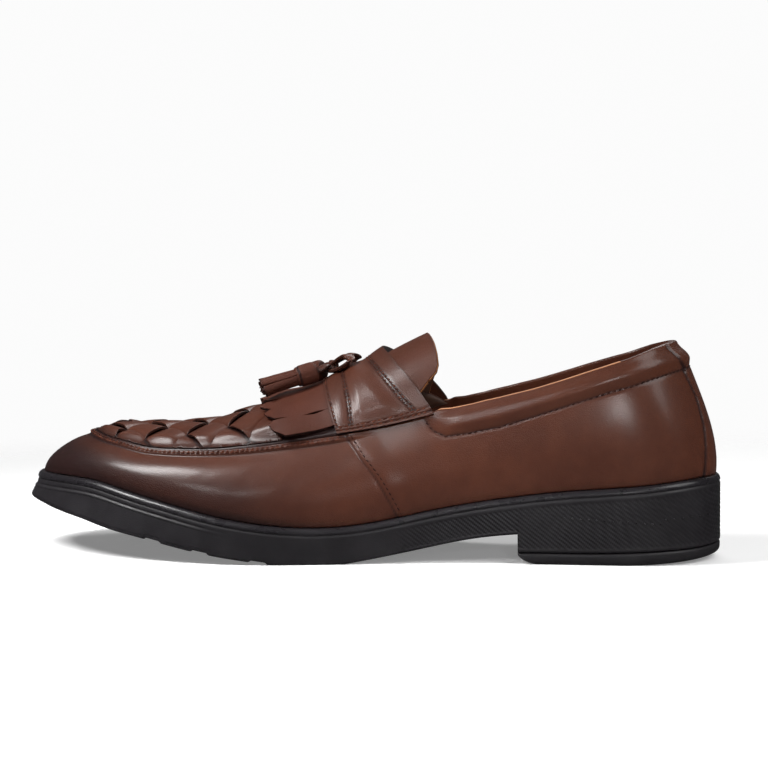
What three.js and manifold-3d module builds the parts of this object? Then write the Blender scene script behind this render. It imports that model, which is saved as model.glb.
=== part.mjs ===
// Kiltie loafer, left shoe: a leather upper with a woven apron, a fringed kiltie under a saddle,
// two tassels on a knotted thong, and a rubber unit sole with a separate heel top piece.
// Millimetres, +Z up. The origin is on the floor under the heel, the toe points along -X
// and the outer side of the foot faces -Y.
import * as THREE from 'three';
import { mergeVertices } from 'three/addons/utils/BufferGeometryUtils.js';
import Module from 'manifold-3d';

const wasm = await Module();
wasm.setup();

// Driving sizes of the sole
const soleLength = 300;
const ballWidth = 104.5;
const heelRise = 35;
const toeSpring = 21.4;
const heelOffset = 41;
const heelLength = 82.8;
const topPieceHeight = 4.6;
const heelChamfer = 7.5;
const ledge = 2.8;
const heelFlare = 0.2;
const toeFlare = 3;
const beadHeight = 2.2;
const beadDepth = 0.6;
const ribPitch = 6;
const ribDepth = 0.55;
const ribSlant = 11;
const channelWidth = 8;
const channelDepth = 1.5;

// Driving sizes of the upper and of what is sewn on it
const quarterHeight = 55.5;
const instepHeight = 93;
const upperWall = 1.8;
const fitGap = 0.3;
const seamRaise = 1.6;
const collarSwell = 1.6;
const backstayStep = 0.8;
const quarterStep = 0.6;
const saddleThick = 2.1;
const kiltieThick = 1.7;
const kiltieLift = 3.1;
const kiltieSlit = 0.9;
const kiltieStrips = 11;
const tongueThick = 2.2;
const insoleThick = 3;
const insoleGap = 1.6;
const weaveBase = 1.1;
const weaveRaise = 1.5;
const weaveEdge = 0.7;
const stripWidth = 15;
const tasselRadius = 4.5;
const tasselCap = 9.4;
const tasselSkirt = 18;
const tasselStrips = 5;
const tasselStripThick = 1.3;
const thongWidth = 3.4;
const thongThick = 1.4;
const knotHigh = 3.6;

// Edge of the sole seen from above: shares of the length from the heel, sides as shares of ball width
const outline = [
  { at: 1.000, outer: 0.029, inner: 0.029 },
  { at: 0.985, outer: -0.126, inner: 0.172 },
  { at: 0.950, outer: -0.238, inner: 0.277 },
  { at: 0.900, outer: -0.342, inner: 0.362 },
  { at: 0.830, outer: -0.434, inner: 0.434 },
  { at: 0.750, outer: -0.493, inner: 0.474 },
  { at: 0.680, outer: -0.516, inner: 0.483 },
  { at: 0.600, outer: -0.498, inner: 0.450 },
  { at: 0.500, outer: -0.435, inner: 0.373 },
  { at: 0.400, outer: -0.376, inner: 0.301 },
  { at: 0.300, outer: -0.346, inner: 0.273 },
  { at: 0.200, outer: -0.331, inner: 0.287 },
  { at: 0.110, outer: -0.316, inner: 0.297 },
  { at: 0.047, outer: -0.254, inner: 0.249 },
  { at: 0.013, outer: -0.148, inner: 0.148 },
  { at: 0.000, outer: 0.000, inner: 0.000 },
];

// Top edge of the sole, as shares of the heel's rise
const rimRows = [
  { at: 1.000, high: 0.917 },
  { at: 0.920, high: 0.917 },
  { at: 0.870, high: 0.891 },
  { at: 0.820, high: 0.800 },
  { at: 0.750, high: 0.666 },
  { at: 0.680, high: 0.537 },
  { at: 0.600, high: 0.440 },
  { at: 0.530, high: 0.420 },
  { at: 0.487, high: 0.451 },
  { at: 0.455, high: 0.497 },
  { at: 0.407, high: 0.586 },
  { at: 0.310, high: 0.740 },
  { at: 0.213, high: 0.843 },
  { at: 0.117, high: 0.909 },
  { at: 0.040, high: 0.980 },
  { at: 0.000, high: 0.997 },
];

// Underside of the sole in front of the heel, as shares of the toe spring
const underRows = [
  { at: 1.000, high: 1.000 },
  { at: 0.960, high: 0.925 },
  { at: 0.927, high: 0.827 },
  { at: 0.883, high: 0.715 },
  { at: 0.840, high: 0.570 },
  { at: 0.800, high: 0.465 },
  { at: 0.730, high: 0.271 },
  { at: 0.680, high: 0.145 },
  { at: 0.630, high: 0.045 },
  { at: 0.590, high: -0.030 },
  { at: 0.530, high: -0.040 },
  { at: 0.500, high: 0.020 },
  { at: 0.440, high: 0.178 },
  { at: 0.407, high: 0.276 },
  { at: 0.343, high: 0.463 },
  { at: 0.285, high: 0.560 },
  { at: 0.200, high: 0.600 },
  { at: 0.000, high: 0.600 },
];

// Wall of the upper, a row for each column that starts on the sole at that share of its length.
// It ends on the apron seam, the saddle's foot or the collar: topAt is a share of the length,
// sides are shares of ball width, and heights and swells are shares of the quarter's height.
const wallRows = [
  { at: 1.000, topAt: 0.902, outer: 0.014, inner: 0.014, outerHigh: 0.330, innerHigh: 0.330 },
  { at: 0.983, topAt: 0.897, outer: -0.056, inner: 0.084, outerHigh: 0.328, innerHigh: 0.328 },
  { at: 0.960, topAt: 0.884, outer: -0.130, inner: 0.158, outerHigh: 0.320, innerHigh: 0.320 },
  { at: 0.920, topAt: 0.857, outer: -0.214, inner: 0.240, outerHigh: 0.294, innerHigh: 0.297 },
  { at: 0.860, topAt: 0.820, outer: -0.276, inner: 0.295, outerHigh: 0.285, innerHigh: 0.290 },
  { at: 0.783, topAt: 0.770, outer: -0.325, inner: 0.332, outerHigh: 0.348, innerHigh: 0.355 },
  { at: 0.693, topAt: 0.693, outer: -0.347, inner: 0.344, outerHigh: 0.461, innerHigh: 0.466 },
  { at: 0.600, topAt: 0.607, outer: -0.344, inner: 0.330, outerHigh: 0.588, innerHigh: 0.592 },
  { at: 0.517, topAt: 0.520, outer: -0.330, inner: 0.312, outerHigh: 0.668, innerHigh: 0.674 },
  { at: 0.450, topAt: 0.453, outer: -0.313, inner: 0.297, outerHigh: 0.686, innerHigh: 0.697 },
  { at: 0.393, topAt: 0.393, outer: -0.297, inner: 0.282, outerHigh: 0.703, innerHigh: 0.720 },
  { at: 0.333, topAt: 0.333, outer: -0.284, inner: 0.273, outerHigh: 0.746, innerHigh: 0.768 },
  { at: 0.250, topAt: 0.257, outer: -0.275, inner: 0.266, outerHigh: 0.787, innerHigh: 0.812 },
  { at: 0.167, topAt: 0.187, outer: -0.266, inner: 0.258, outerHigh: 0.849, innerHigh: 0.870 },
  { at: 0.100, topAt: 0.133, outer: -0.244, inner: 0.239, outerHigh: 0.899, innerHigh: 0.912 },
  { at: 0.050, topAt: 0.097, outer: -0.191, inner: 0.188, outerHigh: 0.944, innerHigh: 0.950 },
  { at: 0.017, topAt: 0.070, outer: -0.100, inner: 0.099, outerHigh: 0.986, innerHigh: 0.987 },
  { at: 0.000, topAt: 0.061, outer: 0.000, inner: 0.000, outerHigh: 1.000, innerHigh: 1.000 },
];

// How the wall swells out of the sole and how it leans in at its top, as shares of the quarter's height
const swellRows = [
  { at: 1.000, outer: -0.018, inner: -0.018, rise: 0.144, lean: 0.162, drop: 0.070 },
  { at: 0.920, outer: 0.000, inner: 0.000, rise: 0.135, lean: 0.144, drop: 0.080 },
  { at: 0.860, outer: 0.010, inner: 0.012, rise: 0.135, lean: 0.135, drop: 0.080 },
  { at: 0.693, outer: 0.027, inner: 0.030, rise: 0.198, lean: 0.135, drop: 0.108 },
  { at: 0.600, outer: 0.036, inner: 0.045, rise: 0.252, lean: 0.117, drop: 0.162 },
  { at: 0.517, outer: 0.036, inner: 0.065, rise: 0.288, lean: 0.090, drop: 0.216 },
  { at: 0.393, outer: 0.054, inner: 0.120, rise: 0.252, lean: 0.081, drop: 0.234 },
  { at: 0.300, outer: 0.054, inner: 0.120, rise: 0.258, lean: 0.081, drop: 0.258 },
  { at: 0.167, outer: 0.045, inner: 0.055, rise: 0.288, lean: 0.081, drop: 0.288 },
  { at: 0.100, outer: 0.036, inner: 0.036, rise: 0.306, lean: 0.090, drop: 0.306 },
  { at: 0.017, outer: 0.027, inner: 0.027, rise: 0.324, lean: 0.122, drop: 0.360 },
  { at: 0.000, outer: 0.027, inner: 0.027, rise: 0.324, lean: 0.125, drop: 0.360 },
];

// Ridge of the vamp and instep above the column of the same share: place as a share of the length,
// side as a share of ball width, height as a share of the instep's height, and roundness of the arch
const ridgeRows = [
  { at: 1.000, ridgeAt: 0.902, side: 0.014, high: 0.5422, round: 0.00 },
  { at: 0.960, ridgeAt: 0.873, side: 0.014, high: 0.5420, round: 0.00 },
  { at: 0.920, ridgeAt: 0.853, side: 0.013, high: 0.5420, round: 0.00 },
  { at: 0.860, ridgeAt: 0.820, side: 0.010, high: 0.5462, round: 0.00 },
  { at: 0.783, ridgeAt: 0.773, side: 0.006, high: 0.5527, round: 0.05 },
  { at: 0.693, ridgeAt: 0.703, side: 0.000, high: 0.5850, round: 0.10 },
  { at: 0.650, ridgeAt: 0.667, side: 0.000, high: 0.6226, round: 0.15 },
  { at: 0.600, ridgeAt: 0.623, side: 0.000, high: 0.6710, round: 0.25 },
  { at: 0.550, ridgeAt: 0.583, side: 0.000, high: 0.7290, round: 0.35 },
  { at: 0.517, ridgeAt: 0.547, side: 0.000, high: 0.7849, round: 0.45 },
  { at: 0.480, ridgeAt: 0.517, side: 0.000, high: 0.8312, round: 0.50 },
  { at: 0.450, ridgeAt: 0.490, side: 0.000, high: 0.8710, round: 0.55 },
  { at: 0.420, ridgeAt: 0.457, side: 0.000, high: 0.9301, round: 0.55 },
  { at: 0.393, ridgeAt: 0.416, side: 0.000, high: 1.0000, round: 0.55 },
  { at: 0.000, ridgeAt: 0.100, side: 0.000, high: 1.0000, round: 0.55 },
];

// Places along the shoe where something on the upper starts or ends, as shares of the sole's length
const saddleFront = 0.517;
const saddleBack = 0.436;
const throatAt = 0.393;
const throatMiddle = 0.472;
const backstayAt = 0.030;
const seamFoot = 0.433;
const apronFront = 0.988;
const kiltieFront = 0.624;
const kiltieCorner = 0.598;
const apronEnd = 0.600;
const apronReach = 0.945;
const tongueReach = 0.8;

// Share of the length over which a step of the upper's wall rises
const stepRun = 0.006;

const lerp = (from, to, share) => from + (to - from) * share;
const clamp = (value, low, high) => Math.min(Math.max(value, low), high);

function ramp(value, from, to) {
  const share = clamp((value - from) / (to - from), 0, 1);
  return share * share * (3 - 2 * share);
}

// The turn runs from 0 at the toe to 1 at the heel, close-set at both round ends
const turnOf = at => Math.acos(clamp(2 * at - 1, -1, 1)) / Math.PI;
const shareOf = turn => (1 + Math.cos(Math.PI * turn)) / 2;

// Smooth closed curve around the shoe, from the toe along the outer side to the heel and back inside.
// It takes a place q from 0 to 1.
function loopCurve(rows, outerKey, innerKey = outerKey) {
  const out = rows.map(row => ({ q: turnOf(row.at) / 2, value: row[outerKey] }));
  const back = rows.slice(1, -1).reverse().map(row => ({ q: 1 - turnOf(row.at) / 2, value: row[innerKey] }));
  const knots = [...out, ...back];
  const count = knots.length;
  const knot = index => {
    const lap = Math.floor(index / count);
    const base = knots[index - lap * count];
    return { q: base.q + lap, value: base.value };
  };
  const slope = index => {
    const before = knot(index - 1);
    const here = knot(index);
    const after = knot(index + 1);
    const left = (here.value - before.value) / (here.q - before.q);
    const right = (after.value - here.value) / (after.q - here.q);
    return lerp(left, right, (here.q - before.q) / (after.q - before.q));
  };
  const slopes = knots.map((_, index) => slope(index));
  return q => {
    const place = q - Math.floor(q);
    let index = 0;
    while (index < count - 1 && knot(index + 1).q <= place) index += 1;
    const from = knot(index);
    const to = knot(index + 1);
    const span = to.q - from.q;
    const s = (place - from.q) / span;
    const rise = slopes[index] * span;
    const fall = slopes[(index + 1) % count] * span;
    return from.value * (1 + 2 * s) * (1 - s) ** 2 + rise * s * (1 - s) ** 2
      + to.value * s * s * (3 - 2 * s) + fall * s * s * (s - 1);
  };
}

const outlineSide = loopCurve(outline, 'outer', 'inner');
const rimHigh = loopCurve(rimRows, 'high');
const underHigh = loopCurve(underRows, 'high');
const topAt = loopCurve(wallRows, 'topAt');
const topSide = loopCurve(wallRows, 'outer', 'inner');
const topHigh = loopCurve(wallRows, 'outerHigh', 'innerHigh');
const swellOut = loopCurve(swellRows, 'outer', 'inner');
const swellRise = loopCurve(swellRows, 'rise');
const swellLean = loopCurve(swellRows, 'lean');
const swellDrop = loopCurve(swellRows, 'drop');
const ridgeAt = loopCurve(ridgeRows, 'ridgeAt');
const ridgeSide = loopCurve(ridgeRows, 'side');
const ridgeHigh = loopCurve(ridgeRows, 'high');
const ridgeRound = loopCurve(ridgeRows, 'round');

const outerPlace = at => turnOf(at) / 2;
const innerPlace = at => 1 - turnOf(at) / 2;
const shareAt = q => shareOf(2 * Math.min(q - Math.floor(q), 1 - (q - Math.floor(q))));
const rimZ = q => heelRise * rimHigh(q);

function outlinePoint(q) {
  const x = heelOffset - soleLength * shareAt(q);
  return new THREE.Vector3(x, ballWidth * outlineSide(q), 0);
}

function outward(q) {
  const reach = 0.002;
  const along = outlinePoint(q + reach).sub(outlinePoint(q - reach)).normalize();
  return new THREE.Vector3(along.y, -along.x, 0);
}

// Point beside the sole's outline, moved in by a distance, at a height
function insetPoint(q, inset, z) {
  const point = outlinePoint(q).addScaledVector(outward(q), -inset);
  point.z = z;
  return point;
}

const flareAt = q => lerp(heelFlare, toeFlare, ramp(shareAt(q), 0.6, 1));
const featherInset = q => flareAt(q) + ledge;

// Point on the outer face of the upper's wall, from the sole at v = 0 to its top line at v = 1
function wallPoint(q, v) {
  const foot = insetPoint(q, featherInset(q), rimZ(q) + fitGap);
  const top = new THREE.Vector3(heelOffset - soleLength * topAt(q), ballWidth * topSide(q),
    rimZ(q) + quarterHeight * topHigh(q));
  const out = outward(q);
  const low = foot.clone().addScaledVector(out, quarterHeight * swellOut(q));
  low.z += quarterHeight * swellRise(q);
  const high = top.clone().addScaledVector(out, quarterHeight * swellLean(q));
  high.z -= quarterHeight * swellDrop(q);
  return new THREE.CubicBezierCurve3(foot, low, high, top).getPoint(v);
}

// Point on the vamp and instep between both top lines: across is -1 at the outer one, 1 at the inner one
function capPoint(at, across) {
  const outerQ = outerPlace(at);
  const edge = wallPoint(across < 0 ? outerQ : innerPlace(at), 1);
  const reach = Math.abs(across);
  const round = ridgeRound(outerQ);
  const ridge = new THREE.Vector3(heelOffset - soleLength * ridgeAt(outerQ), ballWidth * ridgeSide(outerQ),
    instepHeight * ridgeHigh(outerQ));
  const quarter = reach * Math.PI / 2;
  const sideShare = lerp(reach, Math.sin(quarter), round);
  const fallShare = lerp(1 - reach * reach, Math.cos(quarter), round);
  return new THREE.Vector3(
    lerp(ridge.x, edge.x, reach * reach),
    lerp(ridge.y, edge.y, sideShare),
    lerp(edge.z, ridge.z, fallShare),
  );
}

// Makes one closed solid from a sheet: each point is moved along the sheet's own normal to the heights
// above and below it, and the sheet's free edges are closed by a wall
function thicken(points, faces, above, below) {
  const normals = points.map(() => new THREE.Vector3());
  for (const [a, b, c] of faces) {
    const first = points[b].clone().sub(points[a]);
    const normal = first.cross(points[c].clone().sub(points[a]));
    for (const index of [a, b, c]) normals[index].add(normal);
  }
  normals.forEach(normal => normal.normalize());
  const upper = points.map((point, index) => above(point, normals[index], index));
  const lower = points.map((point, index) => below(point, normals[index], index));
  const count = points.length;
  const all = [...faces, ...faces.map(([a, b, c]) => [c + count, b + count, a + count])];
  const edges = new Set();
  for (const [a, b, c] of faces) {
    for (const [from, to] of [[a, b], [b, c], [c, a]]) edges.add(`${from} ${to}`);
  }
  for (const edge of edges) {
    const [from, to] = edge.split(' ').map(Number);
    if (edges.has(`${to} ${from}`)) continue;
    all.push([to, from, from + count], [to, from + count, to + count]);
  }
  return geometryOf([...upper, ...lower], all);
}

function geometryOf(points, faces) {
  const geometry = new THREE.BufferGeometry();
  geometry.setAttribute('position', new THREE.Float32BufferAttribute(points.flatMap(p => p.toArray()), 3));
  geometry.setIndex(faces.flat());
  geometry.computeVertexNormals();
  return geometry;
}

const turned = ([a, b, c]) => [a, c, b];

const moved = height => (point, normal) => point.clone().addScaledVector(normal, height);

// Sheet over a grid of points, without the cells that keep() turns down
function gridSheet(rows, columns, pointAt, keep = () => true) {
  const numbers = new Map();
  const points = [];
  const faces = [];
  const number = (row, column) => {
    const key = row * (columns + 1) + column;
    if (!numbers.has(key)) {
      numbers.set(key, points.length);
      points.push(pointAt(row / rows, column / columns));
    }
    return numbers.get(key);
  };
  for (let row = 0; row < rows; row += 1) {
    for (let column = 0; column < columns; column += 1) {
      if (!keep(row, column)) continue;
      const a = number(row, column);
      const b = number(row, column + 1);
      const c = number(row + 1, column + 1);
      const d = number(row + 1, column);
      faces.push([a, b, c], [a, c, d]);
    }
  }
  return { points, faces };
}

// Shares of the length from one place to another, close-set at the round ends
function stationsBetween(from, to, steps) {
  return Array.from({ length: steps }, (_, i) => shareOf(lerp(turnOf(from), turnOf(to), (i + 1) / steps)));
}

// Raised parts of the upper's wall: the apron seam, the padded collar, the backstay and the quarter
function wallRelief(at, v) {
  const seamBand = Math.min(ramp(v, 0.83, 0.88), 1 - ramp(v, 0.95, 1));
  const collarBand = Math.min(ramp(v, 0.66, 0.76), 1 - 0.8 * ramp(v, 0.88, 1));
  const seam = seamRaise * seamBand * ramp(at, saddleFront - stepRun, saddleFront);
  const collar = collarSwell * collarBand * (1 - ramp(at, throatAt - 2 * stepRun, throatAt));
  const backstay = backstayStep * (1 - ramp(at, backstayAt, backstayAt + stepRun / 2));
  const quarterBand = 1 - ramp(v, 0.66, 0.83);
  const quarter = quarterStep * quarterBand * (1 - ramp(at, saddleFront - stepRun, saddleFront));
  return seam + collar + backstay + quarter;
}

const wallLevels = [0, 0.13, 0.27, 0.41, 0.54, 0.66, 0.76, 0.83, 0.88, 0.95, 1];
const capAcross = 12;

// Stations of the wall's columns, with a pair at each step of the wall
const wallStations = [
  1,
  ...stationsBetween(1, saddleFront, 14),
  ...stationsBetween(saddleFront, saddleFront - stepRun, 1),
  ...stationsBetween(saddleFront - stepRun, throatAt, 4),
  ...stationsBetween(throatAt, throatAt - 2 * stepRun, 1),
  ...stationsBetween(throatAt - 2 * stepRun, backstayAt + stepRun / 2, 9),
  ...stationsBetween(backstayAt + stepRun / 2, backstayAt, 1),
  ...stationsBetween(backstayAt, 0, 2),
];
const throatIndex = wallStations.findIndex(at => Math.abs(at - throatAt) < 1e-9);

// The quarter seam runs back as it goes down, so the columns near it slant with it
function slanted(at, v) {
  const reach = Math.max(0, 1 - Math.abs(at - saddleFront) / 0.2);
  return at - (saddleFront - seamFoot) * (1 - v) * reach * reach * (3 - 2 * reach);
}

// The cap's rows bend forward in the middle, so that the last one is the throat's edge
function bentStation(at, across) {
  const stretch = lerp((1 - throatMiddle) / (1 - throatAt), 1, across * across);
  return 1 - (1 - at) * stretch;
}

// Hollow upper, open at the collar and throat and underneath
function makeUpper() {
  const last = wallStations.length - 1;
  const columns = [];
  for (let i = 0; i <= last; i += 1) columns.push({ at: wallStations[i], inner: false });
  for (let i = last - 1; i > 0; i -= 1) columns.push({ at: wallStations[i], inner: true });
  const levels = wallLevels.length;
  const points = [];
  const reliefs = [];
  const faces = [];
  for (const { at, inner } of columns) {
    for (const v of wallLevels) {
      const place = slanted(at, v);
      points.push(wallPoint(inner ? innerPlace(place) : outerPlace(place), v));
      reliefs.push(wallRelief(at, v));
    }
  }
  const wallNumber = (column, level) => (column % columns.length) * levels + level;
  for (let column = 0; column < columns.length; column += 1) {
    for (let level = 0; level < levels - 1; level += 1) {
      const a = wallNumber(column, level);
      const b = wallNumber(column + 1, level);
      const c = wallNumber(column + 1, level + 1);
      const d = wallNumber(column, level + 1);
      faces.push([a, b, c], [a, c, d]);
    }
  }
  const capNumber = (row, across) => {
    if (row === 0 || across === 0) return wallNumber(row, levels - 1);
    if (across === capAcross) return wallNumber(columns.length - row, levels - 1);
    return columns.length * levels + (row - 1) * (capAcross - 1) + across - 1;
  };
  for (let row = 1; row <= throatIndex; row += 1) {
    for (let across = 1; across < capAcross; across += 1) {
      const side = across / capAcross * 2 - 1;
      points.push(capPoint(bentStation(wallStations[row], side), side));
      reliefs.push(0);
    }
  }
  for (let row = 0; row < throatIndex; row += 1) {
    for (let across = 0; across < capAcross; across += 1) {
      const a = capNumber(row, across);
      const b = capNumber(row + 1, across);
      const c = capNumber(row + 1, across + 1);
      const d = capNumber(row, across + 1);
      if (row > 0) faces.push([a, c, d]);
      faces.push([a, b, c]);
    }
  }
  const onSole = index => index < columns.length * levels && index % levels === 0;
  const face = height => (point, normal, index) => {
    const result = point.clone().addScaledVector(normal, height(index));
    if (onSole(index)) result.z = point.z;
    return result;
  };
  return thicken(points, faces, face(index => reliefs[index]), face(() => -upperWall));
}

// Height of the woven strips over their base: two diagonal sets, each strip pillowed and dipping
// where it passes under the other set
function weaveHeight(point) {
  const first = (point.x * 0.82 + point.y * 1.05) / stripWidth;
  const second = (point.x * 0.82 - point.y * 1.05) / stripWidth;
  const cell = Math.floor(first) + Math.floor(second);
  const over = ((cell % 2) + 2) % 2 === 0 ? first : second;
  const other = ((cell % 2) + 2) % 2 === 0 ? second : first;
  const acrossStrip = Math.abs(over - Math.floor(over) - 0.5) * 2;
  const alongStrip = Math.abs(other - Math.floor(other) - 0.5) * 2;
  return weaveRaise * (1 - acrossStrip ** 4) * (1 - 0.75 * alongStrip ** 3);
}

// Woven wall that fills the apron: it thins to its edges, where it goes under the raised seam
function makeWovenApron() {
  const thickness = [];
  const sheet = gridSheet(28, 16, (row, column) => {
    const across = (column * 2 - 1) * apronReach;
    const point = capPoint(shareOf(lerp(turnOf(apronFront), turnOf(apronEnd), row)), across);
    const full = Math.min(1 - ramp(Math.abs(across), 0.8, apronReach), ramp(row, 0, 0.16));
    thickness.push(lerp(weaveEdge, weaveBase + weaveHeight(point), full));
    return point;
  });
  const above = (point, normal, index) => point.clone().addScaledVector(normal, fitGap + thickness[index]);
  return thicken(sheet.points, sheet.faces.map(turned), above, moved(fitGap));
}

// Leather band across the instep, from one foot of the saddle to the other
function makeSaddle() {
  const sheet = gridSheet(6, capAcross, (row, column) => {
    const across = column * 2 - 1;
    const back = lerp(saddleBack, throatAt + stepRun / 2, Math.abs(across) ** 1.5);
    return capPoint(lerp(saddleFront, back, row), across);
  });
  return thicken(sheet.points, sheet.faces.map(turned), moved(fitGap + saddleThick), moved(fitGap));
}

// Fringed flap in front of the saddle: strips part by narrow slits and lift over the woven apron
function makeKiltie() {
  const slitShare = kiltieSlit / (ballWidth * 0.34);
  const stripShare = (2 - slitShare * (kiltieStrips - 1)) / kiltieStrips;
  const columns = kiltieStrips * 2 - 1;
  const isStrip = column => column % 2 === 0;
  const edges = [-1];
  for (let i = 0; i < columns; i += 1) edges.push(edges[i] + (isStrip(i) ? stripShare : slitShare));
  const lifts = [];
  const sheet = gridSheet(6, columns, (row, column) => {
    const across = edges[Math.round(column * columns)] * lerp(0.95, 0.99, row);
    const front = lerp(kiltieFront, kiltieCorner, Math.abs(across) ** 1.5);
    const at = lerp(saddleFront + stepRun / 4, front, row);
    lifts.push(fitGap + kiltieLift * ramp(at, saddleFront + 2 * stepRun, apronEnd - stepRun));
    return capPoint(at, across);
  }, (row, column) => row < 2 || isStrip(column));
  return thicken(
    sheet.points,
    sheet.faces,
    (point, normal, index) => point.clone().addScaledVector(normal, lifts[index] + kiltieThick),
    (point, normal, index) => point.clone().addScaledVector(normal, lifts[index]),
  );
}

// Tongue: goes on from the cap's throat edge, under the saddle, up over the instep
function makeTongue() {
  const sheet = gridSheet(5, capAcross, (row, column) => {
    const across = (column * 2 - 1) * tongueReach;
    const front = bentStation(throatAt, across) - 0.0018;
    const back = lerp(throatAt, throatAt + 0.004, Math.abs(across) ** 4);
    return capPoint(lerp(front, back, row), across);
  });
  return thicken(sheet.points, sheet.faces.map(turned), moved(-fitGap / 2), moved(-fitGap / 2 - tongueThick));
}

// Flat lining of the inside, lying on the sole
function makeInsole() {
  const inset = q => featherInset(q) + upperWall + insoleGap;
  const sheet = gridSheet(26, 2, (row, column) => {
    const at = shareOf(lerp(0.04, 0.96, row));
    const outer = insetPoint(outerPlace(at), inset(outerPlace(at)), 0);
    const inner = insetPoint(innerPlace(at), inset(innerPlace(at)), 0);
    const point = outer.lerp(inner, column);
    point.z = rimZ(outerPlace(at)) + fitGap;
    return point;
  });
  const above = point => new THREE.Vector3(point.x, point.y, point.z + insoleThick);
  return thicken(sheet.points, sheet.faces.map(turned), above, point => point.clone());
}

// Places around the shoe at each station, from the front along the outer side to the heel and back
function aroundShoe(stations, hasTip) {
  return [
    ...stations.map(at => ({ at, side: outerPlace })),
    ...stations.slice(hasTip ? 1 : 0, -1).reverse().map(at => ({ at, side: innerPlace })),
  ];
}

// Closes a ring by strips from its outer to its inner side
function facesAcross(start, count, hasTip) {
  const faces = [];
  let left = 0;
  let right = hasTip ? count : count - 1;
  while (right - left > 1) {
    const [a, b, c, d] = [left, left + 1, right - 1, right % count].map(number => start + number);
    if (b !== c) faces.push([a, b, c]);
    if (d !== a) faces.push([a, c, d]);
    left += 1;
    right -= 1;
  }
  return faces;
}

// Loft of closed rings around the shoe, from the top ring down to the bottom one
function ringLoft(stations, hasTip, rings) {
  const places = aroundShoe(stations, hasTip);
  const count = places.length;
  const points = rings.flatMap(ring => places.map(({ at, side }) => ring(at, side)));
  const faces = facesAcross(0, count, hasTip);
  for (let ring = 0; ring < rings.length - 1; ring += 1) {
    for (let i = 0; i < count; i += 1) {
      const a = ring * count + i;
      const b = ring * count + (i + 1) % count;
      faces.push([a, a + count, b + count], [a, b + count, b]);
    }
  }
  faces.push(...facesAcross((rings.length - 1) * count, count, hasTip).map(turned));
  return geometryOf(points, faces);
}

const breastAt = heelLength / soleLength;
const ribStart = 0.445;
const channels = [0.773, 0.704, 0.623];

// Underside of the unit sole: heel block, breast, arch, forefoot and toe spring, with its tread channels
function underZ(at) {
  if (at <= breastAt) return topPieceHeight + fitGap;
  const channel = channels.some(place => Math.abs(at - place) * soleLength < channelWidth / 2 + 0.01);
  return Math.max(0, toeSpring * underHigh(outerPlace(at))) + (channel ? channelDepth : 0);
}

// Stations of the sole's columns: pairs at the channels and the breast, and two to each rib
function soleStations() {
  const half = channelWidth / 2 / soleLength;
  const edge = 1 / soleLength;
  const stations = [1, ...stationsBetween(1, channels[0] + half + edge, 10)];
  channels.forEach((place, index) => {
    stations.push(place + half, place - half, place - half - edge);
    const next = channels[index + 1];
    if (next) stations.push(...stationsBetween(place - half - edge, next + half + edge, 2));
  });
  const lastChannel = channels[channels.length - 1] - half - edge;
  stations.push(...stationsBetween(lastChannel, ribStart, 6));
  const ribSteps = length => Math.round(length * soleLength / (ribPitch / 2));
  const front = breastAt + edge;
  stations.push(...stationsBetween(ribStart, front, ribSteps(ribStart - front)));
  stations.push(breastAt, ...stationsBetween(breastAt, 0, ribSteps(breastAt)));
  return stations;
}

// Unit sole with its rim bead, ribbed side, arch, heel block and tread channels
function makeOutsole() {
  const stations = soleStations();
  const firstRib = stations.findIndex(at => at < ribStart + 1e-9);
  const grooved = stations.filter((at, index) => index > firstRib && (index - firstRib) % 2 === 1);
  const ring = (inset, height) => (at, side) => insetPoint(side(at), inset(side(at)), height(side(at), at));
  // Each rib runs down towards the heel, less so near the breast, the heel's back and the first rib
  const slide = at => {
    const ends = Math.min(ramp(at, 0, 0.12), 1 - ramp(at, ribStart - 0.05, ribStart));
    return ribSlant / soleLength * Math.min(ends, ramp(Math.abs(at - breastAt), 0, 0.07));
  };
  const sideRing = (share, depth) => (at, side) => {
    const q = side(at - slide(at) * share);
    const z = lerp(rimZ(q) - beadHeight - beadDepth - 1, underZ(at) + 1.2, share);
    const groove = grooved.includes(at) ? depth : 0;
    return insetPoint(q, lerp(flareAt(q), 0, share) + groove, z);
  };
  return ringLoft(stations, true, [
    ring(q => featherInset(q) + 2.5, q => rimZ(q)),
    ring(q => flareAt(q), q => rimZ(q)),
    ring(q => flareAt(q), q => rimZ(q) - beadHeight),
    ring(q => flareAt(q) + beadDepth, q => rimZ(q) - beadHeight - beadDepth),
    sideRing(0, 0),
    sideRing(0.14, ribDepth),
    sideRing(0.92, ribDepth),
    ring(() => 1.2, (q, at) => underZ(at)),
  ]);
}

// Top piece under the heel block, flat on the floor, with its front edge cut back underneath
function makeTopPiece() {
  const stations = [breastAt, ...stationsBetween(breastAt, 0, 14)];
  const ring = (cut, inset, z) => (at, side) => {
    const front = breastAt - heelChamfer / soleLength * cut;
    return insetPoint(side(Math.min(at, front)), inset, z);
  };
  return ringLoft(stations, false, [
    ring(0, 0.9, topPieceHeight),
    ring(0, 0.2, topPieceHeight - 0.8),
    ring(0.35, 0.3, topPieceHeight / 3),
    ring(1, 1.4, 0),
  ]);
}

function toSolid(geometry) {
  const bare = geometry.clone();
  bare.deleteAttribute('normal');
  bare.deleteAttribute('uv');
  const merged = mergeVertices(bare, 1e-4);
  const vertProperties = Float32Array.from(merged.attributes.position.array);
  const triVerts = Uint32Array.from(merged.index.array);
  return new wasm.Manifold(new wasm.Mesh({ numProp: 3, vertProperties, triVerts }));
}

function fromSolid(solid) {
  const mesh = solid.getMesh();
  const geometry = new THREE.BufferGeometry();
  geometry.setAttribute('position', new THREE.BufferAttribute(Float32Array.from(mesh.vertProperties), 3));
  geometry.setIndex(Array.from(mesh.triVerts));
  geometry.computeVertexNormals();
  return geometry;
}

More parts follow.
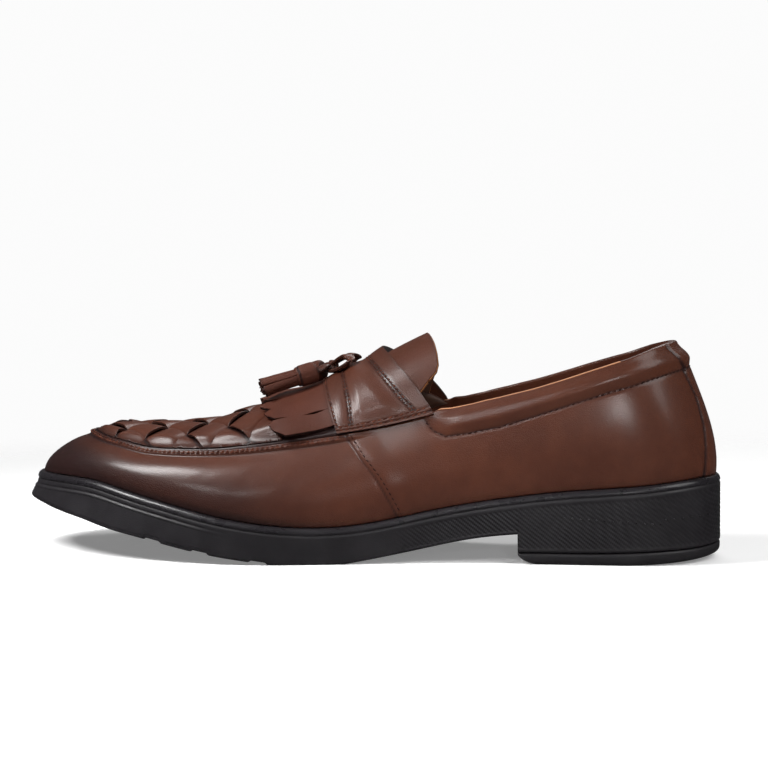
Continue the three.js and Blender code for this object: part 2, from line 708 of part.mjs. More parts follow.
const joined = geometries => fromSolid(geometries.map(toSolid).reduce((all, one) => all.add(one)));

// Frame of axes from a point: along runs from start to end, and flat is level across it
function axesAlong(start, end) {
  const along = end.clone().sub(start).normalize();
  const flat = new THREE.Vector3(0, 0, 1).cross(along).normalize();
  const up = along.clone().cross(flat);
  return { along, flat, up };
}

// Tassel lying on the kiltie: a round cap and a skirt of leather strips in two layers that fan out of it
function makeTassel(root, tip) {
  const { along, flat, up } = axesAlong(root, tip);
  const frame = new THREE.Matrix4().makeBasis(flat, up, along).setPosition(root);
  const profile = [
    [0, 0], [0.55, 0], [1, 0.2], [1, 0.8], [0.8, 1], [0, 1],
  ].map(([radius, height]) => new THREE.Vector2(radius * tasselRadius, height * tasselCap));
  const cap = new THREE.LatheGeometry(profile, 12).rotateX(Math.PI / 2);
  const pieces = [turnedOut(cap.applyMatrix4(frame))];
  const stripWide = tasselRadius * 2 / tasselStrips * 1.5;
  for (let i = 0; i < tasselStrips * 2; i += 1) {
    const layer = i < tasselStrips ? 1 : -1;
    const share = (i % tasselStrips) / (tasselStrips - 1) * 2 - 1 + layer * 0.06;
    const strip = new THREE.BoxGeometry(stripWide, tasselStripThick, tasselSkirt, 1, 1, 2);
    const corners = strip.attributes.position;
    const rise = tasselRadius * (0.52 - 0.2 * share * share);
    for (let k = 0; k < corners.count; k += 1) {
      const far = corners.getZ(k) / tasselSkirt + 0.5;
      const length = tasselSkirt * (1 - 0.1 * (i * 3 % 4) / 4);
      corners.setXYZ(
        k,
        corners.getX(k) * lerp(0.9, 1.1, far) + share * tasselRadius * lerp(0.6, 1.35, far),
        corners.getY(k) + layer * rise * lerp(1, 1.25, far),
        tasselCap * 0.8 + far * length,
      );
    }
    pieces.push(strip.applyMatrix4(frame));
  }
  return joined(pieces);
}

// A lathe's faces point inwards when its profile runs up its axis, so they are turned
function turnedOut(geometry) {
  const solid = geometry.index.array;
  const position = geometry.attributes.position;
  let volume = 0;
  const corner = number => new THREE.Vector3().fromBufferAttribute(position, solid[number]);
  for (let i = 0; i < solid.length; i += 3) volume += corner(i).dot(corner(i + 1).cross(corner(i + 2)));
  if (volume > 0) return geometry;
  for (let i = 0; i < solid.length; i += 3) [solid[i], solid[i + 1]] = [solid[i + 1], solid[i]];
  return geometry;
}

// Strap of a thong through points, with a level oblong section
function thong(points, width, thick) {
  const curve = new THREE.CatmullRomCurve3(points);
  const steps = points.length * 2;
  const rows = [];
  for (let i = 0; i <= steps; i += 1) {
    const middle = curve.getPoint(i / steps);
    const along = curve.getTangent(i / steps);
    const flat = new THREE.Vector3(0, 0, 1).cross(along).normalize();
    const up = along.clone().cross(flat);
    const corner = (side, high) => middle.clone().addScaledVector(flat, side * width / 2)
      .addScaledVector(up, high * thick / 2);
    rows.push([corner(-1, -1), corner(1, -1), corner(1, 1), corner(-1, 1)]);
  }
  const faces = [[0, 3, 2], [0, 2, 1]];
  for (let i = 0; i < steps; i += 1) {
    for (let k = 0; k < 4; k += 1) {
      const a = i * 4 + k;
      const b = i * 4 + (k + 1) % 4;
      faces.push([a, b, b + 4], [a, b + 4, a + 4]);
    }
  }
  const end = steps * 4;
  faces.push([end, end + 1, end + 2], [end, end + 2, end + 3]);
  return turnedOut(geometryOf(rows.flat(), faces));
}

const knotAt = 0.509;
const saddleUnderKnot = capPoint(knotAt, 0);
const knotPlace = saddleUnderKnot.clone().setZ(saddleUnderKnot.z + fitGap + saddleThick + knotHigh);
const tasselRoots = [-1, 1].map(side => new THREE.Vector3(knotPlace.x - 8, side * 8.5, knotPlace.z - 3.2));
const tasselTips = [-1, 1].map(side => new THREE.Vector3(knotPlace.x - 35, side * 18.5, knotPlace.z - 11.6));

// Knot on the saddle with its two loops and the two ends that carry the tassels
function makeBow() {
  const knot = new THREE.SphereGeometry(1, 10, 6).scale(4.2, 4.6, knotHigh * 0.62);
  const pieces = [knot.translate(knotPlace.x, knotPlace.y, knotPlace.z)];
  [-1, 1].forEach((side, i) => {
    const at = (x, y, z) => new THREE.Vector3(knotPlace.x + x, side * y, knotPlace.z + z);
    const end = tasselRoots[i].clone().lerp(tasselTips[i], -0.045);
    pieces.push(thong([at(0, 0, 0), at(-4, 4.5, -0.4), end], thongWidth, thongThick));
    const out = [at(0, 1, 0.4), at(5, 7, 3), at(10.5, 10, 4.9)];
    const back = [at(12.5, 6, 6.6), at(7, 3, 5), at(0, 0.5, 1)];
    pieces.push(thong([...out, ...back], thongWidth * 0.8, thongThick));
  });
  return joined(pieces);
}

const leather = new THREE.MeshStandardMaterial({ color: '#5a2b1c', roughness: 0.35, metalness: 0 });
const wovenLeather = new THREE.MeshStandardMaterial({ color: '#53271a', roughness: 0.4, metalness: 0 });
const rubber = new THREE.MeshStandardMaterial({ color: '#151415', roughness: 0.6, metalness: 0 });
const lining = new THREE.MeshStandardMaterial({ color: '#a9794c', roughness: 0.7, metalness: 0 });

const shoe = new THREE.Group();
function place(name, geometry, material) {
  const mesh = new THREE.Mesh(geometry, material);
  mesh.name = name;
  shoe.add(mesh);
}

place('upper', makeUpper(), leather);
place('woven_apron', makeWovenApron(), wovenLeather);
place('saddle', makeSaddle(), leather);
place('kiltie', makeKiltie(), leather);
place('tongue', makeTongue(), leather);
place('insole', makeInsole(), lining);
place('outsole', makeOutsole(), rubber);
place('heel_top_piece', makeTopPiece(), rubber);
place('bow', makeBow(), leather);
['tassel_outer', 'tassel_inner'].forEach((name, i) => {
  place(name, makeTassel(tasselRoots[i], tasselTips[i]), leather);
});

export default shoe;
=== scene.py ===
import math
import bpy
import numpy as np
from mathutils import Matrix, Vector


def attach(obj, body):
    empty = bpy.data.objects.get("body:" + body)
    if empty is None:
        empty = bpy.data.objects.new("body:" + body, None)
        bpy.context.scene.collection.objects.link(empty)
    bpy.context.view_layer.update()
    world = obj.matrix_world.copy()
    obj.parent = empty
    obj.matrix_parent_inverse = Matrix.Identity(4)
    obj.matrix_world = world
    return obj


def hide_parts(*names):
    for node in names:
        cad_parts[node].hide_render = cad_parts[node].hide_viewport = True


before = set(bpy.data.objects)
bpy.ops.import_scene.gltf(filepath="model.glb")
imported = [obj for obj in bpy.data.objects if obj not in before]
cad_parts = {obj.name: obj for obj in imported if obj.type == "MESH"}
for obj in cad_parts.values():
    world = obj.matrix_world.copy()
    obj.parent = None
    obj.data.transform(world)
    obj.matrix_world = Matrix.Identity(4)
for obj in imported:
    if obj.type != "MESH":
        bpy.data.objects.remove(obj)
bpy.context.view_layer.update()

# Driving sizes in millimetres, the same as those of the solids
SOLE_LENGTH = 300.0
BALL_WIDTH = 104.5
HEEL_RISE = 35.0
TOE_SPRING = 21.4
HEEL_OFFSET = 41.0
HEEL_LENGTH = 82.8
TOP_PIECE_HEIGHT = 4.6
HEEL_CHAMFER = 7.5
LEDGE = 2.8
HEEL_FLARE = 0.2
TOE_FLARE = 3.0
QUARTER_HEIGHT = 55.5
INSTEP_HEIGHT = 93.0
UPPER_WALL = 1.8
FIT_GAP = 0.3

# Places along the shoe, as shares of the sole's length from the heel
SADDLE_FRONT = 0.517
THROAT_AT = 0.393
THROAT_MIDDLE = 0.472
KILTIE_FRONT = 0.624
KILTIE_CORNER = 0.598
BREAST_AT = HEEL_LENGTH / SOLE_LENGTH


def table(columns, *rows):
    """Named columns, one row for each section."""
    return {name: np.array([row[i] for row in rows], float) for i, name in enumerate(columns.split())}


OUTLINE = table(
    "at outer inner",
    (1.000, 0.029, 0.029),
    (0.985, -0.126, 0.172),
    (0.950, -0.238, 0.277),
    (0.900, -0.342, 0.362),
    (0.830, -0.434, 0.434),
    (0.750, -0.493, 0.474),
    (0.680, -0.516, 0.483),
    (0.600, -0.498, 0.450),
    (0.500, -0.435, 0.373),
    (0.400, -0.376, 0.301),
    (0.300, -0.346, 0.273),
    (0.200, -0.331, 0.287),
    (0.110, -0.316, 0.297),
    (0.047, -0.254, 0.249),
    (0.013, -0.148, 0.148),
    (0.000, 0.000, 0.000),
)
RIM = table(
    "at high",
    (1.000, 0.917),
    (0.920, 0.917),
    (0.870, 0.891),
    (0.820, 0.800),
    (0.750, 0.666),
    (0.680, 0.537),
    (0.600, 0.440),
    (0.530, 0.420),
    (0.487, 0.451),
    (0.455, 0.497),
    (0.407, 0.586),
    (0.310, 0.740),
    (0.213, 0.843),
    (0.117, 0.909),
    (0.040, 0.980),
    (0.000, 0.997),
)
UNDER = table(
    "at high",
    (1.000, 1.000),
    (0.960, 0.925),
    (0.927, 0.827),
    (0.883, 0.715),
    (0.840, 0.570),
    (0.800, 0.465),
    (0.730, 0.271),
    (0.680, 0.145),
    (0.630, 0.045),
    (0.590, -0.030),
    (0.530, -0.040),
    (0.500, 0.020),
    (0.440, 0.178),
    (0.407, 0.276),
    (0.343, 0.463),
    (0.285, 0.560),
    (0.200, 0.600),
    (0.000, 0.600),
)
WALL = table(
    "at top_at outer inner outer_high inner_high",
    (1.000, 0.902, 0.014, 0.014, 0.330, 0.330),
    (0.983, 0.897, -0.056, 0.084, 0.328, 0.328),
    (0.960, 0.884, -0.130, 0.158, 0.320, 0.320),
    (0.920, 0.857, -0.214, 0.240, 0.294, 0.297),
    (0.860, 0.820, -0.276, 0.295, 0.285, 0.290),
    (0.783, 0.770, -0.325, 0.332, 0.348, 0.355),
    (0.693, 0.693, -0.347, 0.344, 0.461, 0.466),
    (0.600, 0.607, -0.344, 0.330, 0.588, 0.592),
    (0.517, 0.520, -0.330, 0.312, 0.668, 0.674),
    (0.450, 0.453, -0.313, 0.297, 0.686, 0.697),
    (0.393, 0.393, -0.297, 0.282, 0.703, 0.720),
    (0.333, 0.333, -0.284, 0.273, 0.746, 0.768),
    (0.250, 0.257, -0.275, 0.266, 0.787, 0.812),
    (0.167, 0.187, -0.266, 0.258, 0.849, 0.870),
    (0.100, 0.133, -0.244, 0.239, 0.899, 0.912),
    (0.050, 0.097, -0.191, 0.188, 0.944, 0.950),
    (0.017, 0.070, -0.100, 0.099, 0.986, 0.987),
    (0.000, 0.061, 0.000, 0.000, 1.000, 1.000),
)
SWELL = table(
    "at outer inner rise lean drop",
    (1.000, -0.018, -0.018, 0.144, 0.162, 0.070),
    (0.920, 0.000, 0.000, 0.135, 0.144, 0.080),
    (0.860, 0.010, 0.012, 0.135, 0.135, 0.080),
    (0.693, 0.027, 0.030, 0.198, 0.135, 0.108),
    (0.600, 0.036, 0.045, 0.252, 0.117, 0.162),
    (0.517, 0.036, 0.065, 0.288, 0.090, 0.216),
    (0.393, 0.054, 0.120, 0.252, 0.081, 0.234),
    (0.300, 0.054, 0.120, 0.258, 0.081, 0.258),
    (0.167, 0.045, 0.055, 0.288, 0.081, 0.288),
    (0.100, 0.036, 0.036, 0.306, 0.090, 0.306),
    (0.017, 0.027, 0.027, 0.324, 0.122, 0.360),
    (0.000, 0.027, 0.027, 0.324, 0.125, 0.360),
)
RIDGE = table(
    "at ridge_at side high round",
    (1.000, 0.902, 0.014, 0.5422, 0.00),
    (0.960, 0.873, 0.014, 0.5420, 0.00),
    (0.920, 0.853, 0.013, 0.5420, 0.00),
    (0.860, 0.820, 0.010, 0.5462, 0.00),
    (0.783, 0.773, 0.006, 0.5527, 0.05),
    (0.693, 0.703, 0.000, 0.5850, 0.10),
    (0.650, 0.667, 0.000, 0.6226, 0.15),
    (0.600, 0.623, 0.000, 0.6710, 0.25),
    (0.550, 0.583, 0.000, 0.7290, 0.35),
    (0.517, 0.547, 0.000, 0.7849, 0.45),
    (0.480, 0.517, 0.000, 0.8312, 0.50),
    (0.450, 0.490, 0.000, 0.8710, 0.55),
    (0.420, 0.457, 0.000, 0.9301, 0.55),
    (0.393, 0.416, 0.000, 1.0000, 0.55),
    (0.000, 0.100, 0.000, 1.0000, 0.55),
)


def mix(start, end, share):
    return start + (end - start) * share


def ramp(value, start, end):
    share = np.clip((value - start) / (end - start), 0.0, 1.0)
    return share * share * (3.0 - 2.0 * share)


def bell(distance, width):
    return np.exp(-(distance / width) ** 2)


def turn_of(at):
    """Turn from 0 at the toe to 1 at the heel, close-set at both round ends."""
    return np.arccos(np.clip(2.0 * np.asarray(at, float) - 1.0, -1.0, 1.0)) / np.pi


def share_of(turn):
    return (1.0 + np.cos(np.pi * np.asarray(turn, float))) / 2.0


def outer_place(at):
    return turn_of(at) / 2.0


def inner_place(at):
    return 1.0 - turn_of(at) / 2.0


def side_place(at, side):
    """Place round the shoe on its outer side, -1, or its inner one, 1."""
    return outer_place(at) if side < 0 else inner_place(at)


def share_at(q):
    lap = np.mod(q, 1.0)
    return share_of(2.0 * np.minimum(lap, 1.0 - lap))


def loop_curve(rows, outer, inner=None):
    """Smooth closed curve around the shoe through a table's columns."""
    turns = turn_of(rows["at"]) / 2.0
    places = np.concatenate([turns, 1.0 - turns[-2:0:-1]])
    values = np.concatenate([rows[outer], rows[inner or outer][-2:0:-1]])
    count = len(places)
    spans = np.diff(np.append(places, places[0] + 1.0))
    rises = np.diff(np.append(values, values[0])) / spans
    matrix = np.zeros((count, count))
    right = np.zeros(count)
    for i in range(count):
        before, after = spans[i - 1], spans[i]
        matrix[i, i - 1] += 1.0 / before
        matrix[i, i] += 2.0 / before + 2.0 / after
        matrix[i, (i + 1) % count] += 1.0 / after
        right[i] = 3.0 * (rises[i - 1] / before + rises[i] / after)
    slopes = np.linalg.solve(matrix, right)

    def value_at(q):
        place = np.mod(q, 1.0)
        index = np.clip(np.searchsorted(places, place, side="right") - 1, 0, count - 1)
        following = (index + 1) % count
        span = spans[index]
        s = (place - places[index]) / span
        first = values[index] * (1 + 2 * s) * (1 - s) ** 2 + slopes[index] * span * s * (1 - s) ** 2
        return first + values[following] * s * s * (3 - 2 * s) + slopes[following] * span * s * s * (s - 1)

    return value_at


outline_side = loop_curve(OUTLINE, "outer", "inner")
rim_high = loop_curve(RIM, "high")
under_high = loop_curve(UNDER, "high")
top_at = loop_curve(WALL, "top_at")
top_side = loop_curve(WALL, "outer", "inner")
top_high = loop_curve(WALL, "outer_high", "inner_high")
swell_out = loop_curve(SWELL, "outer", "inner")
swell_rise = loop_curve(SWELL, "rise")
swell_lean = loop_curve(SWELL, "lean")
swell_drop = loop_curve(SWELL, "drop")
ridge_at = loop_curve(RIDGE, "ridge_at")
ridge_side = loop_curve(RIDGE, "side")
ridge_high = loop_curve(RIDGE, "high")
ridge_round = loop_curve(RIDGE, "round")


def rim_z(q):
    return HEEL_RISE * rim_high(q)


def outline_point(q):
    x = HEEL_OFFSET - SOLE_LENGTH * share_at(q)
    return np.stack([x, BALL_WIDTH * outline_side(q), np.zeros_like(x)], -1)


def outward(q):
    reach = 0.002
    along = outline_point(q + reach) - outline_point(q - reach)
    along = along / np.linalg.norm(along, axis=-1, keepdims=True)
    return np.stack([along[..., 1], -along[..., 0], np.zeros_like(along[..., 0])], -1)


def inset_point(q, inset, z):
    point = outline_point(q) - outward(q) * np.asarray(inset)[..., None]
    point[..., 2] = z
    return point


def flare_at(q):
    return mix(HEEL_FLARE, TOE_FLARE, ramp(share_at(q), 0.6, 1.0))


def feather_inset(q):
    return flare_at(q) + LEDGE


def wall_point(q, v):
    """Outer face of the upper's wall, from the sole at v = 0 to its top line at v = 1."""
    q, v = np.broadcast_arrays(np.asarray(q, float), np.asarray(v, float))
    foot = inset_point(q, feather_inset(q), rim_z(q) + FIT_GAP)
    top = np.stack([
        HEEL_OFFSET - SOLE_LENGTH * top_at(q),
        BALL_WIDTH * top_side(q),
        rim_z(q) + QUARTER_HEIGHT * top_high(q),
    ], -1)
    out = outward(q)
    up = np.array([0.0, 0.0, 1.0])
    low = foot + out * (QUARTER_HEIGHT * swell_out(q))[..., None]
    low = low + up * (QUARTER_HEIGHT * swell_rise(q))[..., None]
    high = top + out * (QUARTER_HEIGHT * swell_lean(q))[..., None]
    high = high - up * (QUARTER_HEIGHT * swell_drop(q))[..., None]
    s = v[..., None]
    return foot * (1 - s) ** 3 + 3 * low * s * (1 - s) ** 2 + 3 * high * s * s * (1 - s) + top * s ** 3


def cap_point(at, across):
    """Vamp and instep between both top lines: across is -1 at the outer one, 1 at the inner one."""
    at, across = np.broadcast_arrays(np.asarray(at, float), np.asarray(across, float))
    outer = outer_place(at)
    edge = wall_point(np.where(across < 0, outer, inner_place(at)), 1.0)
    reach = np.abs(across)
    arch = ridge_round(outer)
    quarter = reach * np.pi / 2
    side = mix(reach, np.sin(quarter), arch)
    fall = mix(1 - reach * reach, np.cos(quarter), arch)
    ridge_x = HEEL_OFFSET - SOLE_LENGTH * ridge_at(outer)
    ridge_y = BALL_WIDTH * ridge_side(outer)
    ridge_z = INSTEP_HEIGHT * ridge_high(outer)
    return np.stack([
        mix(ridge_x, edge[..., 0], reach * reach),
        mix(ridge_y, edge[..., 1], side),
        mix(edge[..., 2], ridge_z, fall),
    ], -1)


def bent_station(at, across):
    """Rows of the cap bend forward in the middle, so that the last one is the throat's edge."""
    stretch = mix((1 - THROAT_MIDDLE) / (1 - THROAT_AT), 1.0, across * across)
    return 1 - (1 - at) * stretch


def under_z(at):
    return np.maximum(0.0, TOE_SPRING * under_high(outer_place(at)))


# Mesh building

def unit(vectors):
    return vectors / np.maximum(np.linalg.norm(vectors, axis=-1, keepdims=True), 1e-9)


def grid_normals(points, loop=False):
    """Normals of a grid of points; loop says that its rows close on themselves."""
    if loop:
        along = np.roll(points, -1, 0) - np.roll(points, 1, 0)
    else:
        along = np.gradient(points, axis=0)
    return unit(np.cross(along, np.gradient(points, axis=1)))


def grid_faces(rows, columns, loop=False, start=0):
    count = rows if loop else rows - 1
    i, j = np.meshgrid(np.arange(count), np.arange(columns - 1), indexing="ij")
    following = (i + 1) % rows
    quads = np.stack([i * columns + j, following * columns + j, following * columns + j + 1,
                      i * columns + j + 1], -1)
    return quads.reshape(-1, 4) + start


def volume_of(points, faces):
    a, b, c, d = (points[faces[:, k]] for k in range(4))
    return (np.einsum("ij,ij->i", a, np.cross(b, c)) + np.einsum("ij,ij->i", a, np.cross(c, d))).sum()


def facing_out(points, faces):
    """Faces of a closed shape, turned round if they face its inside."""
    return faces[:, ::-1] if volume_of(points, faces) < 0 else faces


def run_along(line):
    """Length along a line of points up to each of them."""
    return np.concatenate([[0.0], np.cumsum(np.linalg.norm(np.diff(line, axis=0), axis=1))])


def ball_grid(turns, levels):
    """Angles round and up a unit ball, its grid of points and its faces."""
    around = np.linspace(0, 2 * math.pi, turns + 1)[:-1][:, None]
    rise = np.linspace(-math.pi / 2, math.pi / 2, levels)[None, :]
    points = np.stack([np.cos(around) * np.cos(rise), np.sin(around) * np.cos(rise),
                       np.sin(rise) * np.ones_like(around)], -1)
    return around, rise, points, grid_faces(turns, levels, loop=True)


def into_scene(thing):
    bpy.context.scene.collection.objects.link(thing)
    return thing


class Bunch:
    """Points, faces and point values of several shapes, to be made into one mesh."""

    def __init__(self):
        self.points = []
        self.faces = []
        self.slots = []
        self.values = {}
        self.count = 0

    def add(self, points, faces, slot=0, **values):
        points = np.asarray(points, float).reshape(-1, 3)
        self.points.append(points)
        self.faces.append(np.asarray(faces) + self.count)
        self.slots.append(np.broadcast_to(np.asarray(slot), (len(faces),)))
        for name in sorted(set(self.values) | set(values)):
            known = self.values.setdefault(name, [np.zeros(self.count)])
            value = values.get(name, 0.0)
            known.append(np.broadcast_to(np.asarray(value, float).reshape(-1), (len(points),)))
        self.count += len(points)

    def make(self, name, materials, nodes, slot_name):
        points = np.concatenate(self.points) / 1000.0
        faces = np.concatenate(self.faces)
        mesh = bpy.data.meshes.new(name)
        mesh.from_pydata(points.tolist(), [], [tuple(dict.fromkeys(face)) for face in faces.tolist()])
        for label, parts in self.values.items():
            layer = mesh.attributes.new(label, "FLOAT", "POINT")
            layer.data.foreach_set("value", np.concatenate(parts).astype(np.float32))
        for material in materials:
            mesh.materials.append(material)
        mesh.polygons.foreach_set("material_index", np.concatenate(self.slots).astype(np.int32))
        mesh.polygons.foreach_set("use_smooth", np.full(len(faces), True))
        mesh.update()
        piece = into_scene(bpy.data.objects.new(name, mesh))
        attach(piece, "root")
        for node in nodes:
            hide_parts(node)


def edge_dense(low, high, count):
    """Numbers from low to high, close-set at both ends, so that edges stay crisp."""
    return mix(low, high, (np.sin(np.linspace(-0.5, 0.5, count) * math.pi) + 1) / 2)


def slab(bunch, top, bottom, bulge, steps=3, under_slot=0, marks=None, **values):
    """Closed sheet between two grids of points, with a rounded free edge whose value edge is as marked."""
    rows, columns = top.shape[:2]
    ring = [(0, j) for j in range(columns)]
    ring += [(i, columns - 1) for i in range(1, rows)]
    ring += [(rows - 1, j) for j in range(columns - 2, -1, -1)]
    ring += [(i, 0) for i in range(rows - 2, 0, -1)]
    i, j = np.array(ring).T
    upper, lower = top[i, j], bottom[i, j]
    middle = (upper + lower) / 2
    near = np.clip(i, 1, rows - 2), np.clip(j, 1, columns - 2)
    inside = (top[near] + bottom[near]) / 2
    out = unit(np.cross(np.roll(middle, -1, 0) - np.roll(middle, 1, 0), upper - lower))
    out = out * np.sign(np.einsum("ij,ij->i", out, middle - inside))[:, None]
    loops = []
    for k in range(1, steps + 1):
        angle = math.pi * k / (steps + 1)
        loops.append(middle + (upper - lower) / 2 * math.cos(angle) + out * bulge * math.sin(angle))
    count = rows * columns
    number = i * columns + j
    points = np.concatenate([top.reshape(-1, 3), bottom.reshape(-1, 3)] + loops)
    size = len(ring)
    levels = [number] + [2 * count + k * size + np.arange(size) for k in range(steps)] + [count + number]
    sides = []
    for first, second in zip(levels[:-1], levels[1:]):
        sides.append(np.stack([first, np.roll(first, -1), np.roll(second, -1), second], -1))
    face = grid_faces(rows, columns)
    faces = np.concatenate([face, face[:, ::-1] + count])
    sides = np.concatenate(sides)
    every = facing_out(points, np.concatenate([faces, sides]))
    slots = np.repeat([0, under_slot, 0], [len(face), len(face), len(sides)])
    full = {}
    for name, value in values.items():
        grid = np.broadcast_to(np.asarray(value, float), (rows, columns)).reshape(-1)
        full[name] = np.concatenate([grid, grid] + [grid[number]] * steps)
    if marks is None:
        marks = [math.sin(math.pi * (k + 1) / (steps + 1)) for k in range(steps)]
    edge = np.concatenate([np.zeros(2 * count)] + [np.full(size, mark) for mark in marks])
    bunch.add(points, every, slots, edge=edge, **full)


class Sheet:
    """Grid of points over two running numbers, to be read between them."""

    def __init__(self, first, second, points, normals):
        self.first, self.second, self.points, self.normals = first, second, points, normals

    def between(self, grid, first, second):
        """Value of a grid over the same two numbers, between its four nearest places."""
        a = np.interp(first, self.first, np.arange(len(self.first)))
        b = np.interp(second, self.second, np.arange(len(self.second)))
        i = np.clip(a.astype(int), 0, len(self.first) - 2)
        j = np.clip(b.astype(int), 0, len(self.second) - 2)
        s, t = a - i, b - j
        if grid.ndim == 3:
            s, t = s[..., None], t[..., None]
        return (grid[i, j] * (1 - s) * (1 - t) + grid[i + 1, j] * s * (1 - t)
                + grid[i, j + 1] * (1 - s) * t + grid[i + 1, j + 1] * s * t)

    def read(self, first, second):
        """Point and normal at a place."""
        return self.between(self.points, first, second), unit(self.between(self.normals, first, second))


# Shape of one stitch: how thick it is and how far it sinks in at places along its half length
STITCH = table(
    "along size sink",
    (-1.00, 0.12, -1.15),
    (-0.86, 0.72, -0.50),
    (-0.45, 1.00, 0.05),
    (0.00, 1.04, 0.20),
    (0.45, 1.00, 0.05),
    (0.86, 0.72, -0.50),
    (1.00, 0.12, -1.15),
)


def stitches(bunch, points, normals, length, gap, radius, lift, lean=0.16):
    """Row of stitches along a path on a surface, each one a small rounded bar of thread."""
    place = run_along(points)
    count = int(place[-1] / (length + gap))
    if count < 1:
        return
    pitch = place[-1] / count
    middles = (np.arange(count) + 0.5) * pitch

    def on_path(where, grid):
        return np.stack([np.interp(where, place, grid[:, k]) for k in range(3)], -1)

    centre = on_path(middles, points)
    normal = unit(on_path(middles, normals))
    half = length / 2
    along = unit(on_path(middles + half, points) - on_path(middles - half, points))
    across = unit(np.cross(normal, along))
    along = unit(along + across * lean)
    across = unit(np.cross(normal, along))
    around = np.arange(7) * 2 * math.pi / 7
    stations, size, sink = (STITCH[name][:, None, None] for name in ("along", "size", "sink"))
    centre, along, across, normal = (part[:, None, None, :] for part in (centre, along, across, normal))
    grid = (centre + along * (stations * half) + normal * (lift + sink * radius)
            + across * (np.cos(around)[:, None] * (size * radius))
            + normal * (np.sin(around)[:, None] * (size * radius * 0.8)))
    rows, ring = len(stations), len(around)
    base = []
    for i in range(rows - 1):
        for k in range(ring):
            following = (k + 1) % ring
            base.append([i * ring + k, i * ring + following, (i + 1) * ring + following, (i + 1) * ring + k])
    for start, turn in ((0, -1), ((rows - 1) * ring, 1)):
        cap = [start + k for k in range(ring)][::turn]
        base += [[cap[0], cap[a], cap[b], cap[c]] for a, b, c in ((1, 2, 3), (3, 4, 5), (5, 6, 6))]
    one = grid[0].reshape(-1, 3)
    base = facing_out(one - one.mean(0), np.array(base))
    faces = (base[None] + (np.arange(count) * rows * ring)[:, None, None]).reshape(-1, 4)
    tint = np.repeat(np.random.default_rng(count).uniform(0, 1, count), rows * ring)
    bunch.add(grid.reshape(-1, 3), faces, tint=tint)


# Materials

class Nodes:
    """Small helper for building a material's node tree."""

    def __init__(self, name):
        self.material = bpy.data.materials.new(name)
        self.material.use_nodes = True
        self.tree = self.material.node_tree
        self.tree.nodes.clear()
        output = self.tree.nodes.new("ShaderNodeOutputMaterial")
        self.shader = self.tree.nodes.new("ShaderNodeBsdfPrincipled")
        self.put(self.shader.outputs[0], output.inputs[0])
        self.place = self.tree.nodes.new("ShaderNodeTexCoord").outputs["Object"]

    def put(self, source, into):
        """Gives a socket a number or a colour, or links it to another one."""
        if isinstance(source, float):
            into.default_value = source
        elif isinstance(source, tuple):
            into.default_value = (*source, 1.0)
        else:
            self.tree.links.new(source, into)

    def noise(self, scale, detail=3.0, rough=0.5, stretch=None, warp=0.0):
        node = self.tree.nodes.new("ShaderNodeTexNoise")
        node.inputs["Scale"].default_value = scale
        node.inputs["Detail"].default_value = detail
        node.inputs["Roughness"].default_value = rough
        node.inputs["Distortion"].default_value = warp
        place = self.place
        if stretch is not None:
            mapping = self.tree.nodes.new("ShaderNodeMapping")
            mapping.inputs["Scale"].default_value = stretch
            self.put(place, mapping.inputs["Vector"])
            place = mapping.outputs[0]
        self.put(place, node.inputs["Vector"])
        return node.outputs["Fac"]

    def cells(self, scale, feature="DISTANCE_TO_EDGE"):
        node = self.tree.nodes.new("ShaderNodeTexVoronoi")
        node.feature = feature
        node.inputs["Scale"].default_value = scale
        self.put(self.place, node.inputs["Vector"])
        return node.outputs["Distance"]

    def value(self, name):
        node = self.tree.nodes.new("ShaderNodeAttribute")
        node.attribute_name = name
        return node.outputs["Fac"]

    def spread(self, source, low, high, to_low=0.0, to_high=1.0):
        node = self.tree.nodes.new("ShaderNodeMapRange")
        node.interpolation_type = "SMOOTHSTEP"
        for index, value in enumerate((source, low, high, to_low, to_high)):
            self.put(value, node.inputs[index])
        return node.outputs[0]

    def math(self, operation, first, second):
        node = self.tree.nodes.new("ShaderNodeMath")
        node.operation = operation
        self.put(first, node.inputs[0])
        self.put(second, node.inputs[1])
        return node.outputs[0]

    def blend(self, share, first, second):
        node = self.tree.nodes.new("ShaderNodeMix")
        node.data_type = "RGBA"
        for index, source in ((0, share), (6, first), (7, second)):
            self.put(source, node.inputs[index])
        return node.outputs[2]

    def bump(self, height, strength, distance, onto=None):
        node = self.tree.nodes.new("ShaderNodeBump")
        node.inputs["Strength"].default_value = strength
        node.inputs["Distance"].default_value = distance
        self.put(height, node.inputs["Height"])
        if onto is not None:
            self.put(onto, node.inputs["Normal"])
        return node.outputs[0]

    def finish(self, colour, rough, normal=None, coat=0.0, coat_rough=0.2, specular=0.5, sheen=0.0):
        inputs = self.shader.inputs
        if normal is not None:
            self.put(normal, inputs["Normal"])
        for name, source in (("Base Color", colour), ("Roughness", rough), ("Coat Weight", coat),
                             ("Coat Roughness", coat_rough), ("Specular IOR Level", specular),
                             ("Sheen Weight", sheen)):
            self.put(source, inputs[name])
        return self.material


